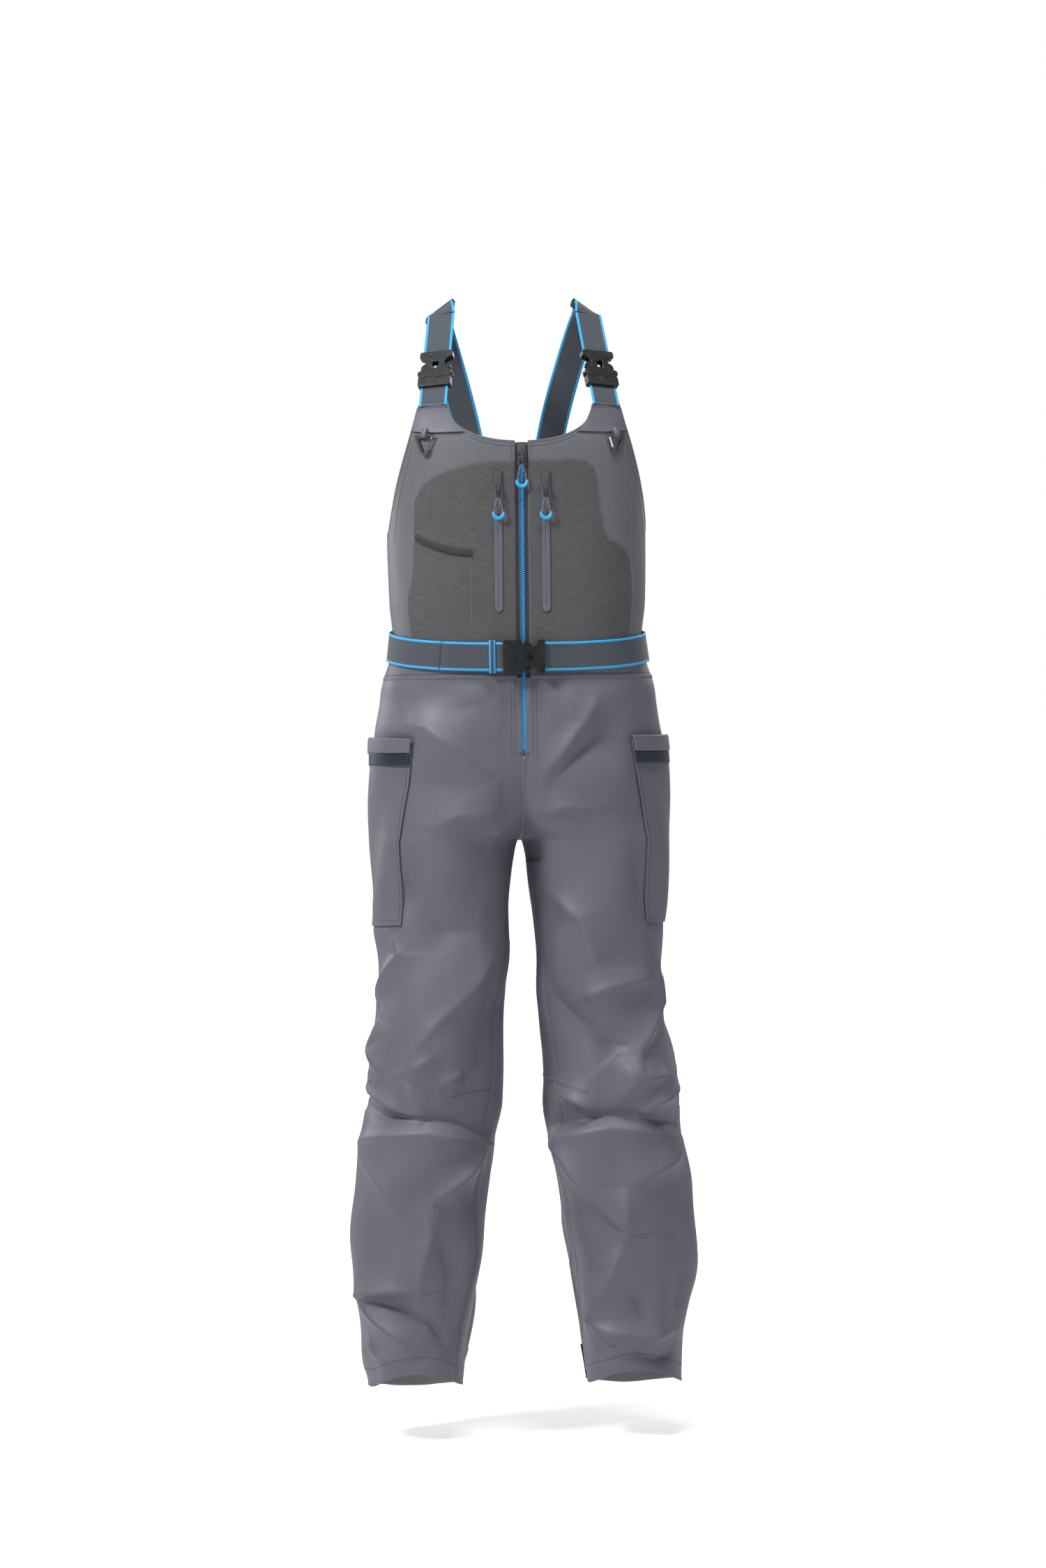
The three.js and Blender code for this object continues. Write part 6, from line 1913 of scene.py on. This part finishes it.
@dataclass
class Zips:
    """The main zip with its teeth and tapes, the pocket zips, and the pulls on their sliders."""

    bib: BibCloth
    looks: Finishes
    sewing: Sewing
    pitch: float = 2.9 * MM

    def __post_init__(self) -> None:
        """Keeps the form and its levels at hand."""
        self.form = self.bib.form
        self.at = self.form.at

    def middle(self, z: Array) -> Array:
        """Points down the middle front, on the level of the teeth."""
        y = self.form.surface(1, -self.form.phi_at(3.1 * MM, z), z)[0][..., 1]
        return np.stack([0 * z, y, z], -1)

    def main(self) -> None:
        """Tapes with a corded edge, and two rows of teeth set half a pitch apart. The left row is blue; the
        right row takes a darker copy of the same blue, painted shade.
        """
        z = np.linspace(self.at.neck - 1 * MM, self.at.fly + 3 * MM, 150)
        at = self.middle(z)
        cross, up = np.array([[1.0, 0, 0]]).repeat(150, 0), np.array([[0, -1.0, 0]]).repeat(150, 0)
        tooth, faces = self.tooth()
        for side in Side:
            xs = np.array([0.2, 1.6, 3.0, 4.2, 9.0, 14.0]) * MM
            high = np.array([-2.0, -0.9, -1.0, -2.3, -2.55, -2.6]) * MM
            profile = np.concatenate([np.stack([xs, high - 0.9 * MM], -1),
                                      np.stack([xs, high], -1)[::-1]]) * [side.sign, 1]
            piece = carry(f"zip_tape_{side.word}", profile, at, cross, up)
            self.looks.dress(piece, "zip_tape")
            finished(piece, ROOT, "zip_tape", f"main_zip_tape_{side.word}")
            count = int((z[0] - z[-1]) / self.pitch)
            rows = z[0] - (np.arange(count) + (0.25 if side is Side.LEFT else 0.75)) * self.pitch
            place = self.middle(rows) + [side.sign * 1.5 * MM, 0.3 * MM, 0]
            x = np.array([[side.sign, 0.0, 0]]).repeat(count, 0)
            piece = scatter(f"zip_teeth_{side.word}", tooth, faces, place, x,
                            np.array([[0, 0, 1.0]]).repeat(count, 0),
                            np.array([[0, -1.0, 0]]).repeat(count, 0))
            # The right row takes the darker copy of the blue: painted shade.
            self.looks.dress(piece, "teeth_blue" if side is Side.LEFT else "teeth_deep")
            finished(piece, ROOT, "zip_tape_blue" if side is Side.RIGHT else "zip_tape")
        stop = self.middle(np.array([self.at.fly + 2 * MM]))[0]
        for dz in (0.0, -1.6 * MM, -3.2 * MM):
            line = np.stack([np.linspace(-6, 6, 5) * MM, np.full(5, stop[1] - 0.4 * MM),
                             np.full(5, stop[2] + dz)], -1)
            self.sewing.stitch(ROOT, line, np.array([[0, -1.0, 0]]).repeat(5, 0))

    @staticmethod
    def tooth() -> tuple[Array, Array]:
        """One tooth: a bar that narrows to a neck and swells to a round head, as stacked rings along x."""
        xs = np.array([-1.9, -1.6, -1.0, -0.3, 0.6, 1.5, 1.7]) * MM
        half = np.array([0.5, 0.98, 1.12, 0.85, 0.72, 0.72, 0.5]) * MM
        tall = np.array([0.5, 0.95, 1.05, 1.0, 0.95, 0.85, 0.5]) * MM
        turn = (np.arange(8) + 0.5) / 8 * 2 * math.pi
        blunt = np.clip(np.stack([0 * turn, np.cos(turn), np.sin(turn)], -1) * 1.25, -1, 1)
        points = np.concatenate([blunt * [0, h, t] + [x, 0, 0] for x, h, t in zip(xs, half, tall)])
        caps = np.array([[0, 1, 2, 3], [0, 3, 4, 7], [4, 5, 6, 7]])
        faces = grid_faces(len(xs), 8, closed=True)
        return points, np.concatenate([faces[:, ::-1], caps, caps[:, ::-1] + (len(xs) - 1) * 8])

    def pocket(self, side: Side) -> None:
        """A slot with two smooth lips that meet over the coil, a dark garage at its top and a light end tack.

        Args:
            side: the half of the bib that it belongs to.
        """
        top = self.at.neck - 56 * MM
        x0 = 33 * MM
        v, u = np.meshgrid(np.linspace(0, 1, 120), np.linspace(-1, 1, 25), indexing="ij")
        ends = np.minimum(v, 1 - v) * 180 / 6
        width = np.where(ends < 1, np.sqrt(np.clip(1 - (1 - ends) ** 2, 0.0, 1)), 1)
        slit = 0.9 * MM * np.exp(-((u * 6) / 0.55) ** 2) * np.minimum(ends, 1)
        lift = 2.75 * MM + 0.45 * MM * np.sqrt(np.clip(1 - u ** 4, 0, 1)) - slit
        x = x0 + u * 5.6 * MM * width
        z = top - 180 * MM * (1 - v)
        points, out = self.bib.at_x(side.sign, x, z, lift)
        piece = cloth_piece(f"pocket_zip_lips_{side.word}", points, out, np.stack([x * side.sign, z], -1))
        self.looks.dress(piece, "pocket_tape")
        thicken(piece, 0.8 * MM)
        finished(piece, ROOT, "zip_tape", f"pocket_zip_tape_{side.word}")
        v, u = np.meshgrid(np.linspace(0, 1, 24), np.linspace(-1, 1, 21), indexing="ij")
        z = top + 16 * MM - 24 * MM * v
        narrow = np.where(v > 0.8, np.sqrt(np.clip(1 - ((v - 0.8) / 0.2) ** 2, 0.1, 1)), 1)
        lift = 3.9 * MM + 1.0 * MM * np.sqrt(np.clip(1 - u ** 2, 0, 1)) * smooth(v * 2.4)
        points, out = self.bib.at_x(side.sign, x0 + u * 5.4 * MM * narrow, z, lift)
        piece = cloth_piece(f"pocket_zip_garage_{side.word}", points, out)
        self.looks.dress(piece, "zip_tape")
        thicken(piece, 0.9 * MM)
        finished(piece, ROOT, "zip_tape")
        for k in range(3):
            x = x0 + np.linspace(-2.6, 2.6, 4) * MM
            z = top - 176 * MM + k * 1.3 * MM + 0 * x
            self.sewing.stitch(ROOT, *self.bib.at_x(side.sign, x, z, 3.2 * MM), colour="pale_thread")

    def pull(self, name: str, x: float, z: float, lift: float, size: float, drop: float,
             half: float = 7.2 * MM) -> None:
        """A wire link on the slider's bail, a cord loop through it and a moulded grip on the loop's end.

        Args:
            name: the zip's name.
            x, z: the slider's place on the front.
            lift: its distance from the body form.
            size: room for the slider's bail.
            drop: length from the link to the grip's end.
            half: half of the loop's width.
        """
        if x == 0:
            foot = self.middle(np.array([z]))[0]
        else:
            foot = self.form.surface(int(math.copysign(1, x)), -self.form.phi_at(abs(x), z), z)[0]
        centre = np.array([x, foot[1] - lift - size - 1.4 * MM, z])
        across, rise, out = np.array([1.0, 0, 0]), np.array([0, 0, 1.0]), np.array([0, -1.0, 0])
        def loop(path: Array, radius: float, label: str, finish: str,
                 closed: bool = True) -> bpy.types.Object:
            """A round bar along a flat path."""
            points = centre + path[:, :1] * across + path[:, 1:] * rise
            frames = path_frames(points, np.repeat(out[None], len(points), 0), closed)
            piece = self.looks.dress(frames.bar(f"{name}_{label}", round_profile(radius), closed=closed),
                                     finish)
            return finished(piece, f"{name}_pull", "pull")
        band = rounded_band(6.2 * MM, 12.4 * MM, 1.6 * MM) + [0, -5.4 * MM]
        first = loop(band, 0.62 * MM, "link", "slider_grey")
        top = -10.6 * MM
        t = np.linspace(0, 2 * math.pi, 60, endpoint=False)
        reach = drop + top
        down = (1 - np.cos(t)) / 2
        wide = half * np.sin(t) * (0.38 + 0.62 * down ** 0.8)
        loop(np.stack([wide, top - reach * down], -1), 0.85 * MM, "cord", "loop_grey")
        grip = np.linspace(-1.18, 1.18, 40) * math.pi / 2
        path = np.stack([np.sin(grip) * half * 0.98, -drop + half * 0.95 - np.cos(grip) * half], -1)
        points = centre + path[:, :1] * across + path[:, 1:] * rise
        frames = path_frames(points, np.repeat(out[None], len(points), 0))
        swell = 2.15 * MM * np.clip(1.2 * np.sqrt(np.clip(np.cos(grip / 1.18 * 0.97), 0, 1)), 0, 1)
        ring = round_profile(1.0, 12) * [1.15, 0.9]
        mesh = frames.at[:, None] + frames.cross[:, None] * ring[None, :, :1] * swell[:, None, None] \
            + frames.up[:, None] * ring[None, :, 1:] * swell[:, None, None]
        piece = make_piece(f"{name}_grip", mesh.reshape(-1, 3), grid_faces(40, 12, closed=True, flip=True))
        self.looks.dress(piece, "grip_blue")
        finished(piece, f"{name}_pull", "pull")
        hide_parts(f"{name}_pull")

    def garage(self) -> None:
        """The dark chin guard at the top of the main zip."""
        v, u = np.meshgrid(np.linspace(0, 1, 20), np.linspace(-1, 1, 21), indexing="ij")
        z = self.at.neck - 1 * MM - 15 * MM * v
        y = self.middle(z)[..., 1] - 1.9 * MM - 1.2 * MM * np.sqrt(np.clip(1 - u ** 2, 0, 1))
        points = np.stack([u * 6.5 * MM * (1 - 0.15 * v), y, z], -1)
        out = np.stack([0 * u, -1 + 0 * u, 0 * u], -1)
        piece = cloth_piece("main_zip_garage", points, out)
        self.looks.dress(piece, "zip_tape")
        thicken(piece, 1.0 * MM)
        finished(piece, ROOT, "zip_tape")

    def build(self) -> None:
        """Makes every zip and pull."""
        self.main()
        self.garage()
        self.pull("main_zip", 0, self.at.neck - 22 * MM, 0.9 * MM, 3 * MM, 40 * MM)
        for side in Side:
            self.pocket(side)
            self.pull(f"pocket_zip_{side.word}", side.sign * 33 * MM, self.at.neck - 68 * MM, 4.3 * MM,
                      2.4 * MM, 38 * MM)


# ---------------------------------------------------------------- pieces sewn on the legs


@dataclass
class LegTrims:
    """Cargo pocket, flap, hem, cuff tab and seams of one leg."""

    leg: LegCloth
    looks: Finishes
    sewing: Sewing

    def __post_init__(self) -> None:
        """Keeps the levels, the side's name and the leg's own body name at hand."""
        self.at = self.leg.form.at
        self.word = self.leg.side.word
        self.body = f"leg_{self.word}"
        self.pocket_top = self.at.waist - 83 * MM

    def pocket(self) -> None:
        """A flat patch pocket with a folded front edge, the navy tape of its mouth, and its flap."""
        span, top, low = math.radians(48), self.pocket_top, self.pocket_top - 261 * MM
        v, u = np.meshgrid(np.linspace(0, 1, 130), np.linspace(-1, 1, 110), indexing="ij")
        phi, z = u * span, low + (top - 6 * MM - low) * v
        rng = np.random.default_rng(SEED + 40 + self.leg.side.sign)
        sag = sum(np.sin(2 * math.pi * (u * a + v * b) + c) * 0.7 * MM for a, b,
                  c in rng.uniform((0.4, 0.3, 0), (1.3, 1.4, 6), (7, 3)))
        middle = np.clip((1 - u ** 6) * (1 - (2 * v - 1) ** 8), 0, 1)
        lift = 2.6 * MM + (sag + 2.2 * MM) * middle
        points, out = self.leg.sample(phi, z, lift)
        piece = cloth_piece(f"patch_pocket_{self.word}", points, out)
        self.looks.dress(piece, "laminate", "lining")
        declare(piece, "laid", f"trouser_leg_{self.word}")
        thicken(piece, 1.5 * MM)
        finished(piece, ROOT, "laminate", f"cargo_pocket_{self.word}")
        for edge in (-0.955, 0.955):
            v = np.linspace(0.03, 0.97, 80)
            self.sewing.stitch(ROOT, *self.leg.sample(edge * span + 0 * v, low + (top - low) * v, 3.3 * MM))
        u = np.linspace(-0.94, 0.94, 60)
        self.sewing.stitch(ROOT, *self.leg.sample(u * span, low + 7 * MM + 0 * u, 3.3 * MM))
        v, u = np.meshgrid(np.linspace(0, 1, 8), np.linspace(-0.995, 0.995, 100), indexing="ij")
        points, out = self.leg.sample(u * span, top - 38 * MM + 18 * MM * v,
                                      5.2 * MM + 1.6 * MM * (1 - np.abs(u) ** 6) + 0 * v)
        piece = cloth_piece(f"pocket_mouth_{self.word}", points, out)
        self.looks.dress(piece, "navy_tape")
        thicken(piece, 0.7 * MM)
        finished(piece, ROOT, "laminate")
        v, u = np.meshgrid(np.linspace(0, 1, 16), np.linspace(-1.005, 1.005, 100), indexing="ij")
        roll = 0.7 * MM * np.sqrt(np.clip(1 - (2 * v - 1) ** 6, 0, 1)) + 0.4 * MM * np.sin(u * 7) * (1 - v)
        points, out = self.leg.sample(u * span, top - 21 * MM + 22 * MM * v,
                                      6.4 * MM + roll + 1.6 * MM * (1 - np.abs(u) ** 6))
        piece = cloth_piece(f"pocket_flap_{self.word}", points, out)
        self.looks.dress(piece, "laminate", "lining")
        declare(piece, "laid", f"patch_pocket_{self.word}")
        thicken(piece, 1.1 * MM)
        finished(piece, f"cargo_flap_{self.word}", "laminate", f"cargo_flap_{self.word}")
        u = np.linspace(-0.96, 0.96, 60)
        self.sewing.stitch(f"cargo_flap_{self.word}",
                           *self.leg.sample(u * span, top - 4.5 * MM + 0 * u, 6.2 * MM))

    def cuff(self) -> None:
        """The rough fastening strip on the inner back of the hem, over the hem's folded edge."""
        v, u = np.meshgrid(np.linspace(0, 1, 24), np.linspace(0, 1, 60), indexing="ij")
        phi = np.radians(168 - 50 * u)
        z = self.at.hem + 2 * MM + 48 * MM * v
        points, out = self.leg.sample(phi, z, 2.4 * MM)
        piece = cloth_piece(f"cuff_strip_{self.word}", points, out)
        self.looks.dress(piece, "hook_strip", "laminate")
        thicken(piece, 1.1 * MM)
        finished(piece, f"cuff_tab_{self.word}", "hook", f"cuff_tab_{self.word}")

    def seams(self) -> None:
        """Hem stitches, the inseam and side seam, the knee darts, and the curved seam under the pocket."""
        at, right = self.at, self.leg.side is Side.RIGHT
        phi = np.linspace(-math.pi + 0.05, math.pi - 0.05, 220)
        turn = np.sin(phi)
        low = at.hem + np.where(turn < 0, 24 * MM, -12 * MM) * turn ** 2
        self.sewing.stitch(self.body, *self.leg.sample(phi, low + 24 * MM, 0.1 * MM))
        self.sewing.ridge(f"hem_rim_{self.word}", self.body, *self.leg.sample(phi, low + 1.5 * MM, 0.1 * MM),
                          width=3 * MM, height=0.6 * MM)
        z = np.linspace(at.crotch - 30 * MM, at.hem + 16 * MM, 300)
        near = np.interp(-z, [0.78, 1.12, 1.3, 1.51],
                         [0.012, 0.050, 0.072, 0.097] if right else [0.012, 0.046, 0.06, 0.082])
        path = self.leg.sample(-self.leg.form.phi_at(near, z), z, 0.1 * MM)
        self.sewing.ridge(f"inseam_{self.word}", self.body, *path, width=7 * MM, height=0.5 * MM)
        self.sewing.stitch(self.body, *self.leg.sample(-self.leg.form.phi_at(near + 4.2 * MM, z), z,
                                                       0.1 * MM))
        z = np.linspace(at.waist - 8 * MM, at.hem + 6 * MM, 300)
        phi = 0.98 + 0 * z
        self.sewing.ridge(f"outseam_{self.word}", self.body, *self.leg.sample(phi, z, 0.1 * MM),
                          width=7 * MM, height=0.5 * MM)
        self.sewing.stitch(self.body, *self.leg.sample(phi + 0.045, z, 0.1 * MM))
        if right:
            darts = ([(107, -1097), (50, -1089)], [(238, -1068), (208, -1080)])
        else:
            darts = ([(88, -1094), (20, -1077)], [(236, -1066), (212, -1074)])
        for k, ((x0, z0), (x1, z1)) in enumerate(darts):
            t = np.linspace(0, 1, 24)
            x, z = (x0 + (x1 - x0) * t) * MM, (z0 + (z1 - z0) * t) * MM
            path = self.leg.sample(-self.leg.form.phi_at(x, z), z, 0.1 * MM)
            self.sewing.ridge(f"knee_dart_{self.word}_{k}", self.body, *path, width=4 * MM, height=0.5 * MM)
            self.sewing.stitch(self.body, *self.leg.sample(-self.leg.form.phi_at(x, z - 4 * MM), z - 4 * MM,
                                                           0.1 * MM))

    def build(self) -> None:
        """Makes every trim of the leg."""
        self.pocket()
        self.cuff()
        self.seams()


def middle_seams(legs: dict[Side, LegCloth], sewing: Sewing) -> None:
    """The fly's rows of stitches, and the seam from the fly, under the crotch and up the back."""
    form = legs[Side.LEFT].form
    at = form.at
    for side in Side:
        z = np.linspace(at.waist - 5 * MM, at.fly - 2 * MM, 60)
        for x in (12.5, 17.5):
            sewing.stitch(ROOT, *legs[side].sample(-form.phi_at(x * MM + 0 * z, z), z, 0.1 * MM))
    z = np.linspace(at.fly - 3 * MM, at.crotch - 2 * MM, 60)
    for sign, name in ((-1, "front"), (1, "back")):
        levels = z if sign < 0 else np.linspace(at.waist - 4 * MM, at.crotch - 2 * MM, 90)
        points, out = form.surface(1, sign * form.phi_at(0 * levels, levels), levels, 0.3 * MM)
        points[:, 0] = 0
        flat = unit(out * [0, 1, 0])
        sewing.ridge(f"middle_seam_{name}", ROOT, points, flat, width=6 * MM, height=0.7 * MM)


# ---------------------------------------------------------------- hardware from the frame

HARDWARE = (
    (("shoulder_buckle_", "belt_buckle_"), "buckle_black", 0.7),
    (("strap_adjuster_",), "buckle_black", 0.7),
    (("gear_clip_gate_",), "wire_steel", 0.4),
    (("gear_clip_",), "clip_grey", 0.6),
    (("main_zip_slider", "pocket_zip_right_slider", "pocket_zip_left_slider"), "slider_grey", 0.4),
)


def dress_hardware(looks: Finishes) -> None:
    """Gives the frame's own hard pieces rounded edges and their materials."""
    for piece in list(bpy.data.objects):
        if piece.type != "MESH" or piece.hide_render:
            continue
        for starts, finish, bevel in HARDWARE:
            if piece.name.startswith(starts):
                looks.dress(piece, finish)
                weld = piece.modifiers.new("weld", "WELD")
                weld.merge_threshold = 0.00001
                edge = piece.modifiers.new("edge", "BEVEL")
                edge.width = bevel * MM
                edge.segments = 3
                edge.limit_method = "ANGLE"
                edge.angle_limit = math.radians(34)
                edge.harden_normals = False
                for face in piece.data.polygons:
                    face.use_smooth = True
                normals = piece.modifiers.new("normals", "WEIGHTED_NORMAL")
                normals.keep_sharp = True
                break


# ---------------------------------------------------------------- the studio


@dataclass(frozen=True)
class Studio:
    """A pale floor and backdrop, three soft lights, and a level camera far in front."""

    floor_drop: float = 62 * MM
    target: tuple[float, float, float] = (0.006, 0.0, -0.669)
    distance: float = 6.75
    azimuth: float = -4.0
    lens: float = 110.0
    tilt_degrees: float = 0.6

    def build(self) -> None:
        """Makes the floor, the world, the lights and the camera."""
        scene = bpy.context.scene
        size = 60.0
        floor_z = CAD_BOX[0][2] - self.floor_drop
        x, y = np.meshgrid(np.linspace(-0.5, 0.5, 2) * size, np.linspace(-0.5, 0.5, 2) * size)
        points = np.stack([x, y, 0 * x + floor_z], -1)
        floor = make_piece("studio_floor", points.reshape(-1, 3), grid_faces(2, 2))
        paint = bpy.data.materials.new("studio_paint")
        paint.use_nodes = True
        shader = paint.node_tree.nodes["Principled BSDF"]
        shader.inputs["Base Color"].default_value = (0.9, 0.9, 0.9, 1)
        shader.inputs["Roughness"].default_value = 0.4
        shader.inputs["Emission Color"].default_value = (1, 1, 1, 1)
        n = NodeTools(paint.node_tree)
        seen = n.add("ShaderNodeLightPath").outputs["Is Camera Ray"]
        split = n.add("ShaderNodeVectorMath", operation="LENGTH")
        n.join(n.add("ShaderNodeTexCoord").outputs["Object"], split.inputs[0])
        far = n.ramp(split.outputs["Value"], 1.7, 3.4)
        glow = n.math("MULTIPLY_ADD", far, 0.6, 0.45)
        n.join(n.math("MULTIPLY_ADD", n.math("MULTIPLY", seen, glow), 1.0, 0.06),
               shader.inputs["Emission Strength"])
        floor.data.materials.append(paint)
        world = bpy.data.worlds.new("studio_world")
        world.use_nodes = True
        n = NodeTools(world.node_tree)
        seen = n.add("ShaderNodeLightPath").outputs["Is Camera Ray"]
        sky = world.node_tree.nodes["Background"]
        n.join(n.mix(seen, (0.93, 0.96, 1.0), (1.0, 1.0, 1.0)), sky.inputs[0])
        n.join(n.math("MULTIPLY_ADD", seen, 0.82, 0.18), sky.inputs[1])
        scene.world = world
        for name, place, power, width in (
            ("key_light", (-2.6, -1.9, 2.1), 135, 0.8),
            ("fill_light", (2.9, -2.2, 0.3), 12, 1.6),
            ("top_light", (0.3, -1.2, 3.0), 75, 0.8),
            ("rim_light", (1.8, 2.4, 0.8), 30, 1.4),
            ("rim_light_2", (-2.2, 2.2, 0.2), 24, 1.4),
        ):
            light = bpy.data.lights.new(name, "AREA")
            light.energy = power
            light.size = width
            lamp = bpy.data.objects.new(name, light)
            lamp.location = place
            lamp.rotation_euler = (Vector((0, 0, -0.7)) - Vector(place)).to_track_quat("-Z", "Y").to_euler()
            scene.collection.objects.link(lamp)
        camera = bpy.data.cameras.new("camera")
        camera.lens = self.lens
        camera.clip_end = 40
        eye = bpy.data.objects.new("camera", camera)
        turn = math.radians(self.azimuth)
        away = Vector((math.sin(turn), -math.cos(turn), 0)) * self.distance
        eye.location = Vector(self.target) + away
        eye.rotation_euler = (math.pi / 2, math.radians(self.tilt_degrees), turn)
        scene.collection.objects.link(eye)
        scene.camera = eye
        scene.view_settings.view_transform = "Standard"


def main() -> None:
    """Builds the studio, the garment and its trims in order."""
    Studio().build()
    looks = Finishes()
    form = BodyForm()
    sewing = Sewing(looks)
    dress_hardware(looks)
    legs = {side: LegCloth(form, side) for side in Side}
    for leg in legs.values():
        leg.build(looks)
        LegTrims(leg, looks, sewing).build()
    middle_seams(legs, sewing)
    bib = BibCloth(form)
    for side in Side:
        bib.build_front(side, looks)
        StrapRun(form, side).build(looks, sewing)
    bib.build_back(looks)
    BibTrims(bib, looks, sewing).build()
    Zips(bib, looks, sewing).build()
    Belt(form).build(looks, sewing)
    sewing.finish()


if __name__ == "__main__":
    main()
